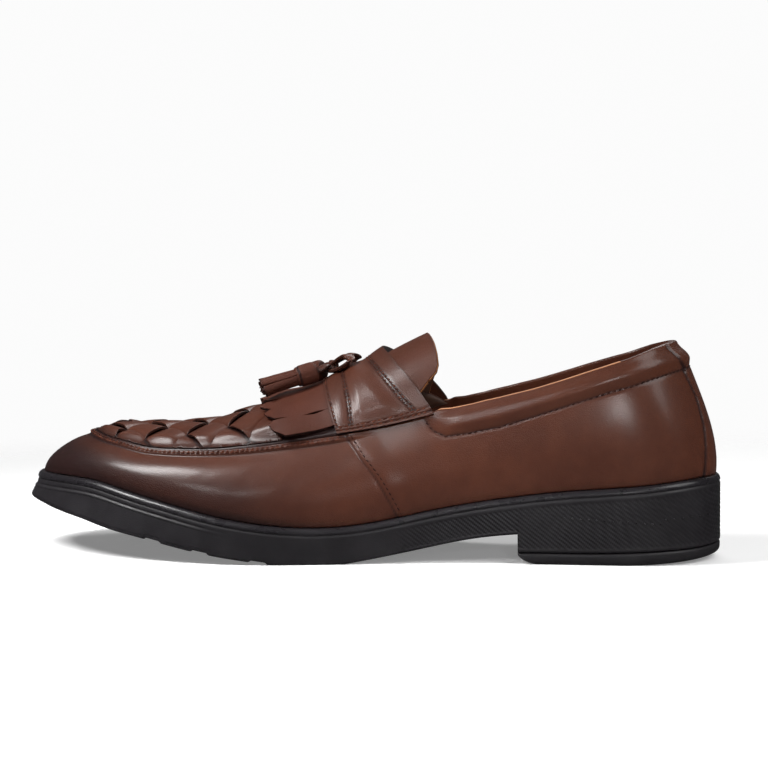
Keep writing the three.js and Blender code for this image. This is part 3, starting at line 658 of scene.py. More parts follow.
def leather(name, light, dark, burnt_and_shaded, raw, rough=0.42, coat=0.36, shine=0.24, wrinkle=1.0):
    """Burnished smooth leather: mottled, darker by the point value burnish, which holds both burnishing and
    painted shade, raw where edge is high.
    """
    n = Nodes(name)
    cloud = n.noise(28.0, 4.0, 0.55, warp=0.4)
    fine = n.noise(190.0, 4.0, 0.6)
    mottled = n.math("ADD", n.math("MULTIPLY", cloud, 0.7), n.math("MULTIPLY", fine, 0.3))
    colour = n.blend(n.spread(mottled, 0.34, 0.66), dark, light)
    # Burnishing and painted shade both darken the colour towards the darkest one
    colour = n.blend(n.spread(n.value("burnish"), 0.0, 1.0), colour, burnt_and_shaded)
    colour = n.blend(n.spread(n.value("edge"), 0.72, 0.95), colour, raw)
    pebble = n.spread(n.cells(1250.0), 0.0, 0.22)
    hair = n.noise(2600.0, 2.0, 0.5)
    crackle = n.noise(430.0, 4.0, 0.6, stretch=(1.0, 1.0, 1.6), warp=1.4)
    creased = n.noise(150.0, 5.0, 0.62, stretch=(1.0, 1.0, 2.4), warp=0.8)
    normal = n.bump(pebble, 0.42, 0.00018)
    normal = n.bump(hair, 0.14, 0.00010, normal)
    normal = n.bump(crackle, 0.20 * wrinkle, 0.0005, normal)
    normal = n.bump(creased, 0.11 * wrinkle, 0.0012, normal)
    normal = n.bump(n.noise(42.0, 2.0, 0.5), 0.06 * wrinkle, 0.004, normal)
    gloss = n.spread(n.noise(75.0, 4.0, 0.6), 0.3, 0.7, rough - 0.04, rough + 0.06)
    rough_all = n.math("ADD", gloss, n.math("MULTIPLY", n.spread(n.value("edge"), 0.5, 0.9), 0.3))
    return n.finish(colour, rough_all, normal, coat=coat, coat_rough=shine, specular=0.10)


def thread(name, light, dark):
    n = Nodes(name)
    twist = n.noise(1500.0, 2.0, 0.5, stretch=(1.0, 1.0, 0.6))
    colour = n.blend(n.spread(n.math("ADD", n.value("tint"), twist), 0.4, 1.6), dark, light)
    return n.finish(colour, 0.8, n.bump(twist, 0.5, 0.0002), specular=0.05)


def rubber(name, base, worn, rough=0.5):
    """Satin moulded rubber with a fine cast grain, glossier where the point value polish is high."""
    n = Nodes(name)
    colour = n.blend(n.spread(n.noise(60.0, 4.0, 0.6), 0.35, 0.75), base, worn)
    speck = n.cells(2200.0, "F1")
    normal = n.bump(n.spread(speck, 0.1, 0.6), 0.14, 0.00015)
    normal = n.bump(n.noise(420.0, 3.0, 0.6), 0.10, 0.0003, normal)
    gloss = n.spread(n.noise(130.0, 3.0, 0.6), 0.3, 0.7, rough - 0.06, rough + 0.08)
    gloss = n.math("SUBTRACT", gloss, n.math("MULTIPLY", n.value("polish"), 0.22))
    return n.finish(colour, gloss, normal, coat=0.08, coat_rough=0.3, specular=0.27)


def lining_leather(name, light, dark):
    """Unglazed lining leather with open pores."""
    n = Nodes(name)
    colour = n.blend(n.spread(n.noise(70.0, 5.0, 0.6), 0.35, 0.65), dark, light)
    pores = n.cells(900.0, "F1")
    normal = n.bump(n.spread(pores, 0.0, 0.35), 0.25, 0.00015)
    normal = n.bump(n.noise(500.0, 3.0, 0.6), 0.2, 0.0002, normal)
    return n.finish(colour, 0.68, normal, sheen=0.15)


LEATHER = leather("leather", (0.076, 0.0226, 0.0112), (0.058, 0.0165, 0.0084), (0.0165, 0.0062, 0.0056),
                  (0.070, 0.028, 0.016))
STRIP_LEATHER = leather("strip_leather", (0.070, 0.0215, 0.0118), (0.054, 0.0162, 0.0088),
                        (0.0110, 0.0043, 0.0038), (0.0110, 0.0042, 0.0036), shine=0.29, wrinkle=0.8)
MATT_LEATHER = leather("fringe_leather", (0.066, 0.0205, 0.0125), (0.050, 0.0155, 0.0095),
                       (0.0130, 0.0050, 0.0045), (0.0100, 0.0040, 0.0034), rough=0.52, coat=0.05,
                       shine=0.35, wrinkle=0.8)
TONGUE_LEATHER = leather("tongue_leather", (0.062, 0.0185, 0.0100), (0.048, 0.0140, 0.0075),
                         (0.0165, 0.0062, 0.0056), (0.330, 0.135, 0.050), rough=0.48, coat=0.12, shine=0.32)
# Lining darkened as painted shade, for the undersides of the tongue and the vamp
SHADED_LINING = lining_leather("shaded_lining", (0.060, 0.0230, 0.0100), (0.042, 0.0160, 0.0070))
THREAD = thread("stitching", (0.100, 0.0330, 0.0200), (0.036, 0.0120, 0.0080))
DARK_THREAD = thread("dark_stitching", (0.034, 0.0125, 0.0086), (0.015, 0.0060, 0.0048))
TAN = lining_leather("lining", (0.400, 0.175, 0.070), (0.300, 0.122, 0.046))
TAN_EDGE = lining_leather("lining_edge", (0.400, 0.162, 0.058), (0.290, 0.108, 0.038))
RUBBER = rubber("sole_rubber", (0.0112, 0.0096, 0.0116), (0.0150, 0.0134, 0.0156))
TOP_RUBBER = rubber("heel_rubber", (0.0108, 0.0094, 0.0112), (0.0142, 0.0128, 0.0148), rough=0.54)


# Upper: one closed wall round the shoe, from the sole up its outer face, over its top edge and down inside

WALL_COLUMNS = 880
WALL_LEVELS = 80
FINE_STEPS = 12001

# Lines on the wall, as shares along the shoe and up the wall: the padded collar's lower seam, the seam
# between vamp and quarter, and the front edge of the backstay
COLLAR = table(
    "at v",
    (0.000, 0.812),
    (0.018, 0.812),
    (0.077, 0.805),
    (0.128, 0.794),
    (0.229, 0.744),
    (0.301, 0.694),
    (0.342, 0.702),
    (0.376, 0.734),
    (0.393, 0.830),
    (0.404, 0.937),
    (0.407, 1.000),
)
QUARTER = table(
    "v at",
    (0.000, 0.437),
    (0.188, 0.450),
    (0.446, 0.468),
    (0.677, 0.488),
    (0.855, 0.501),
    (1.000, 0.511),
)
BACKSTAY = table(
    "v at",
    (0.000, 0.019),
    (0.200, 0.015),
    (0.383, 0.011),
    (0.602, 0.009),
    (0.797, 0.014),
    (0.812, 0.010),
    (0.860, 0.017),
    (1.000, 0.025),
)
# How far the top line stands above or below the plain wall
TOPLINE = table(
    "at lift",
    (0.000, -1.0),
    (0.020, -0.6),
    (0.045, 0.1),
    (0.067, 0.3),
    (0.120, 0.2),
    (0.190, -0.9),
    (0.250, -1.5),
    (0.300, -1.7),
    (0.340, -1.3),
    (0.368, -0.3),
    (0.385, 1.0),
    (0.398, 1.6),
    (0.412, 0.3),
    (0.420, 0.0),
)
# Soft folds left by wear and lasting: where they lie, how far they run, their width, slant and depth
CREASES = table(
    "side at v run width slant depth",
    (-1, 0.705, 0.52, 13.0, 2.4, 40.0, 0.03),
    (-1, 0.645, 0.46, 17.0, 2.8, 52.0, 0.04),
    (-1, 0.600, 0.30, 13.0, 2.4, 62.0, 0.03),
    (-1, 0.585, 0.40, 14.0, 3.0, 68.0, 0.03),
    (-1, 0.700, 0.34, 15.0, 3.4, 22.0, 0.03),
    (-1, 0.420, 0.22, 16.0, 5.0, 12.0, 0.05),
    (-1, 0.330, 0.40, 22.0, 6.0, -14.0, 0.06),
    (-1, 0.215, 0.52, 18.0, 4.6, 24.0, 0.06),
    (-1, 0.150, 0.30, 15.0, 5.0, 58.0, 0.05),
    (-1, 0.385, 0.60, 14.0, 4.4, -40.0, 0.05),
    (1, 0.665, 0.56, 15.0, 2.6, 44.0, 0.04),
    (1, 0.630, 0.48, 16.0, 2.8, 58.0, 0.04),
    (1, 0.590, 0.34, 13.0, 2.6, 66.0, 0.03),
    (1, 0.400, 0.30, 18.0, 5.0, 10.0, 0.06),
    (1, 0.300, 0.46, 20.0, 5.6, -18.0, 0.06),
    (1, 0.190, 0.42, 17.0, 4.8, 40.0, 0.05),
)
# The apron's seam, by length down from the top line: its two rows of stitches, the end of the raised part,
# how high it is and how far the leather rolls in below it
SEAM_ROWS = (0.95, 2.05)
SEAM_END = 2.7
SEAM_HIGH = 0.95
SEAM_ROLL = 0.7
COLLAR_SWELL = 1.5
BACKSTAY_STEP = 0.8
QUARTER_STEP = 0.55
# How far the top of the heel leans in, and up to what share along the shoe
HEEL_LEAN = -1.7
HEEL_LEAN_END = 0.06
# The top edge: how round it is, its piping, and over what part of the shoe the piping shows
EDGE_ROUND = 0.95
EDGE_LEVELS = 9
PIPING_RISE = 0.30
PIPING_START = 0.11
PIPING_END = THROAT_AT + 0.02
PIPING_ROWS = 4
INNER_LEVELS = 14
# Rows of faces from the top line that are still outer leather, from the back of the throat to the throat;
# this brown facing inside partly stands for the shade inside the shoe, more of it towards the throat
FACING_AT = (0.33, 0.385)
FACING_ROWS = (10, 15)
# Painted shade on the brown facing inside the wall
INNER_PAINTED_SHADE = 0.25
OUTER_SLOT, PIPING_SLOT, LINING_SLOT = 0, 1, 2


def laps(count):
    """Places round the shoe, evenly spaced along the sole's outline."""
    fine = np.linspace(0.0, 1.0, FINE_STEPS)
    length = run_along(outline_point(fine))
    places = np.interp(np.arange(count) * length[-1] / count, length, fine)
    return places, length[-1]


def path_distance(points, path, far=12.0, batch=6000):
    """Distance from each point to a finely sampled path, counted only up to far."""
    flat = points.reshape(-1, 3)
    nearest = np.full(len(flat), far)
    chosen = np.flatnonzero(np.all((flat > path.min(0) - far) & (flat < path.max(0) + far), axis=1))
    for start in range(0, len(chosen), batch):
        part = chosen[start:start + batch]
        gap = flat[part][:, None, :] - path[None, :, :]
        nearest[part] = np.minimum(np.sqrt((gap ** 2).sum(-1).min(1)), far)
    return nearest.reshape(points.shape[:-1])


def along_path(at, v, side, spacing=0.5):
    """Finely sampled path on the wall's base surface through places given as shares."""
    known = np.linspace(0.0, 1.0, len(at))

    def on_wall(where):
        q = side_place(np.interp(where, known, at), side)
        level = np.interp(where, known, v)
        return q, level, wall_point(q, level)

    where = np.linspace(0.0, 1.0, 400)
    length = run_along(on_wall(where)[2])
    return on_wall(np.interp(np.arange(0.0, length[-1], spacing), length, where))


wall_q, wall_lap = laps(WALL_COLUMNS)
wall_v = np.linspace(0.0, 1.0, WALL_LEVELS)
wall_base = wall_point(wall_q[:, None], wall_v[None, :])
wall_normals = grid_normals(wall_base, loop=True)
wall_at = np.broadcast_to(share_at(wall_q)[:, None], wall_base.shape[:2])
wall_side = np.broadcast_to(np.where(wall_q < 0.5, -1, 1)[:, None], wall_base.shape[:2])
wall_share = np.broadcast_to(wall_v[None, :], wall_base.shape[:2])
wall_steps = np.linalg.norm(np.diff(wall_base, axis=1), axis=-1)
wall_up = np.concatenate([np.zeros((WALL_COLUMNS, 1)), np.cumsum(wall_steps, axis=1)], axis=1)
wall_down = wall_up[:, -1:] - wall_up
wall_place = np.arange(WALL_COLUMNS)[:, None] * wall_lap / WALL_COLUMNS


def line_gap(rows, side):
    """Distance of the wall's points from one of its lines on one side."""
    return path_distance(wall_base, along_path(rows["at"], rows["v"], side)[2])


def add_apron_seam(height, dark):
    """Adds the raised seam round the apron, its two grooves, and the roll of the leather below it."""
    front = ramp(wall_at, SADDLE_FRONT - 0.05, SADDLE_FRONT + 0.008)
    ridge = SEAM_HIGH * (1 - ramp(wall_down, SEAM_END - 0.5, SEAM_END + 0.3)) * ramp(wall_down, -0.3, 0.5)
    groove = 0.50 * bell(wall_down - SEAM_ROWS[0], 0.36) + 0.08 * bell(wall_down - SEAM_ROWS[1], 0.3)
    rolled = SEAM_ROLL * bell(np.maximum(wall_down - SEAM_END - 0.5, 0.0), 4.6)
    height += (ridge - groove - rolled) * front
    # Painted shade in the groove of the first row, and a painted shadow line below the raised seam
    shade = 0.55 * bell(wall_down - SEAM_ROWS[0], 0.4) + 0.40 * bell(wall_down - SEAM_END - 0.35, 0.5)
    dark += front * shade


def add_collar(height, dark, side):
    """Adds the padded collar on one side, and the seam below it."""
    here = wall_side == side
    gap = line_gap(COLLAR, side)
    above = wall_share > np.interp(wall_at, COLLAR["at"], COLLAR["v"])
    padded = COLLAR_SWELL * ramp(gap, 0.0, 4.6) * (1 - 0.75 * ramp(wall_share, 0.9, 1.0))
    padded = padded * (1 - 0.85 * ramp(wall_at, 0.345, 0.395))
    height += np.where(here & above & (wall_at < COLLAR["at"][-1]), padded, 0.0)
    height -= np.where(here, 0.30 * bell(gap, 0.6), 0.0)
    # Painted shade along the groove of the collar's seam
    dark += np.where(here, 0.55 * bell(gap, 0.6) + 0.15 * bell(gap, 2.2), 0.0)


def add_quarter(height, dark, side):
    """Adds the step from the vamp to the quarter on one side, and the groove of its stitches."""
    here = wall_side == side
    gap = line_gap(QUARTER, side)
    behind = here & (wall_at < np.interp(wall_share, QUARTER["v"], QUARTER["at"]))
    lower = 1 - ramp(wall_share, 0.96, 1.0)
    step = QUARTER_STEP * ramp(gap, 0.0, 1.3) * (1 - 0.6 * ramp(gap, 3.0, 12.0))
    height += np.where(behind, step, 0.0)
    height -= np.where(here & ~behind, 0.15 * bell(gap, 0.8), 0.0)
    height -= np.where(behind, 0.16 * lower * bell(gap - 1.9, 0.45), 0.0)
    # Painted shade along the seam at the quarter's step
    dark += np.where(here, 0.62 * lower * bell(gap, 0.62), 0.0)


def add_backstay(height, dark, side):
    """Adds one side of the strip over the seam at the heel."""
    here = wall_side == side
    gap = line_gap(BACKSTAY, side)
    strip = here & (wall_at < np.interp(wall_share, BACKSTAY["v"], BACKSTAY["at"]))
    height += np.where(strip, BACKSTAY_STEP * ramp(gap, 0.0, 1.3), 0.0)
    height -= np.where(here & ~strip, 0.25 * bell(gap, 0.7), 0.0)
    # Painted shadow along the raised edge of the backstay
    dark += np.where(here, 0.85 * bell(gap, 0.65), 0.0)


def add_crease(height, side, at, v, run, width, slant, depth):
    """Adds one soft fold of the leather."""
    across = wall_place - np.interp(side_place(at, side), wall_q, wall_place[:, 0])
    up = wall_up - v * wall_up[:, -1:]
    turn = math.radians(slant) * -side
    along = across * math.cos(turn) + up * math.sin(turn)
    off = -across * math.sin(turn) + up * math.cos(turn) + 0.02 * along ** 2 / width
    height += depth * (bell(along, run) * (bell(off - width, width * 1.1) - 1.4 * bell(off, width * 0.8)))


def wall_burnish_and_shade(dark):
    """How dark the wall is: burnished most at the toe and the heel, darker towards the sole and on the lower
    vamp, and with painted shade along its seams as dark says.
    """
    low = np.clip(1 - wall_up / 3.5, 0, 1)
    toe = ramp(wall_at, 0.80, 0.985)
    vamp = ramp(wall_at, 0.47, 0.68)
    burnish = 0.50 * toe + 0.52 * vamp * (1 - ramp(wall_share, 0.25, 0.85)) + 0.16 * vamp
    burnish = burnish + 0.30 * low + 0.10 * (1 - ramp(wall_at, 0.0, 0.10)) + dark
    return np.clip(burnish, 0.0, 1.0)


def wall_reliefs():
    """Height of the upper's face over its base surface, and its darkening by burnishing and painted shade, at
    each point.
    """
    height, dark = np.zeros(wall_at.shape), np.zeros(wall_at.shape)
    add_apron_seam(height, dark)
    for side in (-1, 1):
        add_collar(height, dark, side)
        add_quarter(height, dark, side)
        add_backstay(height, dark, side)
    for crease in zip(*CREASES.values()):
        add_crease(height, *crease)
    return height, wall_burnish_and_shade(dark)


def make_upper():
    """Makes the upper's wall and gives its outer face as a sheet."""
    height, burnish = wall_reliefs()
    outer = wall_base + wall_normals * height[..., None]
    outer[:, 0, 2] = wall_base[:, 0, 2]
    at = wall_at[:, 0]
    lift = np.interp(at, TOPLINE["at"], TOPLINE["lift"])[:, None]
    lean = HEEL_LEAN * (1 - ramp(at, 0.0, HEEL_LEAN_END))[:, None]
    free = 1 - ramp(at, THROAT_AT - 0.012, THROAT_AT)
    inner_v = np.linspace(1.0, 0.0, INNER_LEVELS)
    inner_base = wall_point(wall_q[:, None], inner_v[None, :])
    inner = inner_base - grid_normals(inner_base[:, ::-1], loop=True)[:, ::-1] * UPPER_WALL
    for face, level in ((outer, wall_v), (inner, inner_v)):
        face[..., 2] += lift * ramp(level, 0.80, 1.0)
        face[..., 0] += lean * ramp(level, 0.86, 1.0)
    inner[:, -1, 2] = wall_base[:, 0, 2]
    top, low = outer[:, -1], inner[:, 0]
    up = unit(np.cross(np.roll(top, 1, 0) - np.roll(top, -1, 0), top - low))
    up = up * np.sign(up[:, 2:3])
    loops = []
    for angle in np.linspace(0, math.pi, EDGE_LEVELS)[1:-1]:
        piping = PIPING_RISE * bell(angle - math.pi * 0.66, 0.45)
        rise = EDGE_ROUND * (math.sin(angle) + piping)
        middle = (top + low) / 2 + (top - low) / 2 * math.cos(angle)
        loops.append(middle + up * (rise * free)[:, None])
    grid = np.concatenate([outer] + [loop[:, None] for loop in loops] + [inner], axis=1)
    columns = grid.shape[1]
    faces = grid_faces(WALL_COLUMNS, columns, loop=True)
    closing = np.arange(WALL_COLUMNS) * columns
    following = np.roll(closing, -1)
    closing = np.stack([closing + columns - 1, following + columns - 1, following, closing], -1)
    strip = np.tile(np.arange(columns - 1), (WALL_COLUMNS, 1)).reshape(-1)
    edge_start = WALL_LEVELS - 1
    shown = np.repeat((at > PIPING_START) & (at < PIPING_END), columns - 1)
    # The brown facing inside partly stands for shade, and its rows get painted shade as well
    facing = np.repeat(np.interp(at, FACING_AT, FACING_ROWS).astype(int), columns - 1)
    slots = np.where(strip < edge_start + facing, OUTER_SLOT, LINING_SLOT)
    slots = np.where((strip > edge_start) & (strip < edge_start + PIPING_ROWS) & shown, PIPING_SLOT, slots)
    slots = np.concatenate([slots, np.full(len(closing), LINING_SLOT)])
    shades = np.concatenate([burnish, np.full((WALL_COLUMNS, columns - WALL_LEVELS), INNER_PAINTED_SHADE)], axis=1)
    bunch = Bunch()
    bunch.add(grid, np.concatenate([faces, closing]), slots, burnish=shades)
    bunch.make("upper_wall", [LEATHER, TAN_EDGE, TAN], ["upper"], "leather")
    return Sheet(np.append(wall_q, 1.0), wall_v, np.concatenate([outer, outer[:1]]),
                 np.concatenate([wall_normals, wall_normals[:1]]))


wall_sheet = make_upper()


# Vamp and instep: their ends along the shoe, and their points along it and across

CAP_TOE = 0.9985
CAP_REAR = 0.36
VAMP_GRID = (90, 49)
CAP_GRID = (440, 181)
# Search for a place on the cap: about half its length across, the least of it, the rounds, and the share of
# the error that each one takes off
CAP_HALF_RUN = 42.0
CAP_LEAST_RUN = 6.0
FIND_ROUNDS = 14
FIND_STEP = 0.8


def upward(normals):
    """Normals of a grid, all turned so that they point up on the whole."""
    return normals * np.sign(normals[..., 2].mean())


def make_vamp():
    """Lined vamp and instep under the woven apron, the kiltie and the saddle."""
    share = np.linspace(0.0, 1.0, VAMP_GRID[0])[:, None]
    across = np.linspace(-1.0, 1.0, VAMP_GRID[1])[None, :]
    turn = mix(turn_of(CAP_TOE), turn_of(THROAT_AT), share)
    points = cap_point(bent_station(share_of(turn), across), across)
    normals = upward(grid_normals(points))
    bunch = Bunch()
    # Painted shade: the vamp shows only in the gaps of the weave, so it is darkened almost to the darkest
    # colour; its underside is lining darkened as painted shade
    slab(bunch, points - normals * 0.05, points - normals * UPPER_WALL, bulge=0.05, under_slot=1, burnish=0.9)
    bunch.make("vamp", [LEATHER, SHADED_LINING], ["upper"], "leather")


make_vamp()


# Surface of the vamp and instep with its running length across, read by place along the shoe

CAP_AT = np.linspace(CAP_TOE, CAP_REAR, CAP_GRID[0])
CAP_ACROSS = np.linspace(-1.0, 1.0, CAP_GRID[1])
cap_base = cap_point(CAP_AT[:, None], CAP_ACROSS[None, :])
cap_normals = upward(grid_normals(cap_base))
cap_steps = np.linalg.norm(np.diff(cap_base, axis=1), axis=-1)
cap_run = np.concatenate([np.zeros((len(CAP_AT), 1)), np.cumsum(cap_steps, axis=1)], axis=1)
cap_run = cap_run - cap_run[:, len(CAP_ACROSS) // 2][:, None]
cap_sheet = Sheet(-CAP_AT, CAP_ACROSS, cap_base, cap_normals)


def cap_read(at, across):
    at, across = np.broadcast_arrays(np.asarray(at, float), np.asarray(across, float))
    return cap_sheet.read(-at, across)


def cap_find(x, run, at_low, at_high, reach):
    """Place on the cap of a point given by its length along the shoe and its run across it."""
    at = np.clip((HEEL_OFFSET - x) / SOLE_LENGTH + 0.02, at_low, at_high)
    across = np.clip(run / CAP_HALF_RUN, -reach, reach)
    for _ in range(FIND_ROUNDS):
        error_x = cap_sheet.between(cap_base[..., 0], -at, across) - x
        error_run = cap_sheet.between(cap_run, -at, across) - run
        width = np.maximum(cap_sheet.between(cap_run, -at, np.ones_like(at)), CAP_LEAST_RUN)
        at = np.clip(at + FIND_STEP * error_x / SOLE_LENGTH, at_low, at_high)
        across = np.clip(across - FIND_STEP * error_run / width, -reach, reach)
    return at, across


# Woven apron: two sets of strips that run slantwise over and under each other

# One crossing of the strips, the steps from it to the next along both sets, and how far the weave reaches
WEAVE_START = np.array([-182.3, -25.0])
WEAVE_FIRST = np.array([6.3, 14.6])
WEAVE_SECOND = np.array([11.4, -12.2])
WEAVE_CELLS = range(-9, 10)
WEAVE_TOE = -236
WEAVE_REAR = -112
WEAVE_SIDE = 50
# Shares along the shoe and across it past which the weave's points are held back
WEAVE_LIMITS = (0.592, 0.9935, 0.965)
WEAVE_GRID = (27, 19)
STRIP_LAP = 0.16
STRIP_GAP = 0.004
STRIP_THICK = 1.1
STRIP_TOP = 3.1
STRIP_DIP = 1.45
STRIP_CROWN = 0.16
STRIP_TILT = 0.85
# Cells of the weave with less than this of the shoe's length or of its width are left out
CELL_LEAST = (0.004, 0.03)


def make_weave():
    bunch = Bunch()
    rng = np.random.default_rng(7)
    for m in WEAVE_CELLS:
        for n in WEAVE_CELLS:
            middle = WEAVE_START + WEAVE_FIRST * (m + 0.5) + WEAVE_SECOND * (n + 0.5)
            if not WEAVE_TOE < middle[0] < WEAVE_REAR or abs(middle[1]) > WEAVE_SIDE:
                continue
            first = (m + n) % 2 != 0
            long_share = edge_dense(-STRIP_LAP, 1 + STRIP_LAP, WEAVE_GRID[0])[:, None]
            side_share = edge_dense(STRIP_GAP, 1 - STRIP_GAP, WEAVE_GRID[1])[None, :]
            a, b = (long_share, side_share) if first else (side_share, long_share)
            a, b = np.broadcast_arrays(a, b)
            place = WEAVE_START + WEAVE_FIRST * (m + a)[..., None] + WEAVE_SECOND * (n + b)[..., None]
            at, across = cap_find(place[..., 0], place[..., 1], *WEAVE_LIMITS)
            if np.ptp(at) < CELL_LEAST[0] or np.ptp(across) < CELL_LEAST[1]:
                continue
            points, normals = cap_read(at, across)
            # Each strip has one raised side, which shades the end of the strip that goes down beside it
            deep = (long_share - 0.5) * (2 if first else -2)
            raised = (side_share - 0.5) * (2 if first else -2)
            fall = 1 - np.where(deep > 0, np.clip(deep, 0, 1.4) ** 2.4, np.clip(-deep, 0, 1.4) ** 4.5)
            height = STRIP_DIP + (STRIP_TOP - STRIP_DIP) * fall
            height = height - STRIP_CROWN * raised ** 2 * np.clip(fall, 0, 1)
            height = height + STRIP_TILT / 2 * raised * np.clip(fall + 0.15, 0, 1)
            height = height + rng.uniform(-0.10, 0.10) + 0.08 * rng.uniform(-1, 1) * raised
            rim = 1 - ramp(np.abs(across), 0.80, 0.955)
            nose = 1 - ramp(at, 0.955, 0.992)
            full = np.minimum(rim, nose)
            height = mix(1.15, height, full) * (0.35 + 0.65 * full) + 0.1
            thick = mix(0.5, STRIP_THICK, full)
            top = points + normals * height[..., None]
            low = points + normals * (height - thick)[..., None]
            # Painted shade on the ends of the strips where they go down, most beside a raised side, and where
            # they tuck down at the rim and the nose; also a random tone, darker towards the toe
            tone = 0.05 + 0.14 * rng.uniform() + 0.95 * ramp(deep, 0.74, 0.96)
            tone = tone + 0.45 * ramp(-deep, 0.93, 1.03) + 0.35 * (1 - full) + 0.25 * ramp(at, 0.90, 0.99)
            slab(bunch, top, low, bulge=0.10, burnish=np.clip(tone, 0, 1))
    bunch.make("woven_strips", [STRIP_LEATHER], ["woven_apron"], "woven_leather")


make_weave()


# Saddle across the instep, with its puffed middle, sewn bands and feet

SADDLE_THICK = 2.1
PUFF = 1.0
# Places of the saddle's edges and seams by share of the way down its sides
SADDLE_LINES = table(
    "across front rows diagonal rear",
    (0.00, 0.5285, 0.5010, 0.4555, 0.4320),
    (0.15, 0.5275, 0.4995, 0.4520, 0.4290),
    (0.30, 0.5250, 0.4960, 0.4465, 0.4245),
    (0.50, 0.5225, 0.4935, 0.4380, 0.4180),
    (0.70, 0.5208, 0.4942, 0.4285, 0.4085),
    (0.83, 0.5200, 0.4970, 0.4222, 0.4015),
    (0.93, 0.5200, 0.5002, 0.4150, 0.3958),
    (1.00, 0.5205, 0.5020, 0.4100, 0.3915),
)
BIND_INSET = 0.0030
ROW_APART = 0.0040
DIAGONAL_APART = 0.0042
FOOT_ROWS = (0.948, 0.976)
# Length down the saddle's sides for one share across
FOOT_RUN = 50.0
SADDLE_GRID = (116, 186)


def saddle_line(name, across):
    """Smooth place along the shoe of one of the saddle's lines."""
    reach = np.abs(across)
    knots = SADDLE_LINES["across"]
    near = np.interp(reach, knots, SADDLE_LINES[name])
    before = np.interp(np.maximum(reach - 0.05, 0.0), knots, SADDLE_LINES[name])
    after = np.interp(np.minimum(reach + 0.05, 1.0), knots, SADDLE_LINES[name])
    return (2 * near + before + after) / 4


def saddle_seams(front, rows, diagonal):
    """Places of the seams across the saddle, and how deep each one is."""
    return ((front - BIND_INSET, 0.7), (rows, 1.0), (rows - ROW_APART, 1.0),
            (diagonal + DIAGONAL_APART / 2, 1.0), (diagonal - DIAGONAL_APART / 2, 1.0))


def make_saddle():
    """Makes the saddle and gives its face as a sheet over the way back and across."""
    row = edge_dense(0.0, 1.0, SADDLE_GRID[0])[:, None]
    across = edge_dense(-1.0, 1.0, SADDLE_GRID[1])[None, :]
    front, rear = saddle_line("front", across), saddle_line("rear", across)
    at = mix(front, rear, row)
    across = np.broadcast_to(across, at.shape)
    points, normals = cap_read(at, across)
    rows, diagonal = saddle_line("rows", across), saddle_line("diagonal", across)
    to_rows = (rows - ROW_APART / 2 - at) * SOLE_LENGTH
    to_diagonal = (at - diagonal) * SOLE_LENGTH * 0.8
    to_foot = (FOOT_ROWS[0] - np.abs(across)) * FOOT_RUN
    puff = ramp(to_rows, 0.0, 5.5) * ramp(to_diagonal - 1.2, 0.0, 5.5) * ramp(to_foot, 0.0, 6.5)
    height = np.full(at.shape, FIT_GAP + SADDLE_THICK - 0.25) + PUFF * puff
    on_band = ramp(to_foot, -0.4, 0.6)
    strap = (at - mix(front - BIND_INSET, rows, 0.5)) * SOLE_LENGTH
    height = height + 0.30 * bell(strap, 2.4) * on_band
    # Painted shade in the grooves of the stitch rows and along the feet
    dark = np.zeros(at.shape)
    for line, depth in saddle_seams(front, rows, diagonal):
        off = (at - line) * SOLE_LENGTH * 0.9
        height = height - 0.22 * depth * bell(off, 0.36) * on_band
        dark = dark + 0.60 * depth * bell(off, 0.50) * on_band
    off = (np.abs(across) - FOOT_ROWS[1]) * FOOT_RUN
    height = height - 0.36 * bell(off, 0.36) - 0.12 * bell(to_foot, 0.4)
    dark = dark + 0.55 * bell(off, 0.42) + 0.20 * bell(to_foot, 0.4)
    behind = (at - rear) * SOLE_LENGTH
    height = height + 1.7 * bell(across, 0.24) * (1 - ramp(behind, 0.0, 13.0))
    # Darker on the flat bands and along the rear edge, plus the painted shade of the grooves
    burnish = 0.05 + 0.20 * (1 - ramp(puff, 0.0, 0.3)) * on_band + dark
    burnish = burnish + 0.2 * (1 - ramp(behind, 0.0, 1.4))
    top = points + normals * height[..., None]
    low = points + normals * FIT_GAP
    bunch = Bunch()
    slab(bunch, top, low, bulge=0.12, steps=4, marks=(0.9, 1.0, 1.0, 0.9), burnish=np.clip(burnish, 0, 1))
    bunch.make("saddle_band", [STRIP_LEATHER], ["saddle"], "leather")
    return Sheet(row[:, 0], across[0], top, normals)


saddle_sheet = make_saddle()


def on_saddle(at, across):
    """Point and normal on the saddle's face."""
    front = saddle_line("front", across)
    row = (front - at) / (front - saddle_line("rear", across))
    return saddle_sheet.read(np.clip(row, 0, 1), across)


# Kiltie: fringed flap in front of the saddle

KILTIE_THICK = 1.6
KILTIE_LIFT = 3.1
# Sides of the strips as shares across, and for each strip its length, where its slit starts, the slant of its
# end, how far it curls up, how it twists, and how wide a short cut shows near its root
FRINGE_SIDES = (-1.0, -0.785, -0.575, -0.41, -0.24, -0.08, 0.09, 0.25, 0.42, 0.59, 0.79, 1.0)
FRINGE = table(
    "length slit slant curl twist nick",
    (0.985, 0.86, 0.04, 0.05, 0.10, 0.0),
    (0.985, 0.62, 0.03, 0.20, -0.45, 1.0),
    (1.000, 0.80, 0.05, 0.05, 0.40, 0.0),
    (0.985, 0.50, 0.04, 0.50, -0.50, 0.0),
    (1.000, 0.74, 0.06, 0.10, 0.40, 0.7),
    (0.975, 0.55, 0.03, 0.55, 0.30, 0.0),
    (1.000, 0.82, -0.05, 0.05, -0.35, 0.0),
    (0.980, 0.46, -0.04, 0.45, 0.40, 0.6),
    (1.000, 0.76, -0.05, 0.10, -0.30, 0.0),
    (0.980, 0.58, -0.03, 0.35, 0.40, 0.0),
    (0.985, 0.84, -0.04, 0.05, -0.10, 0.8),
)


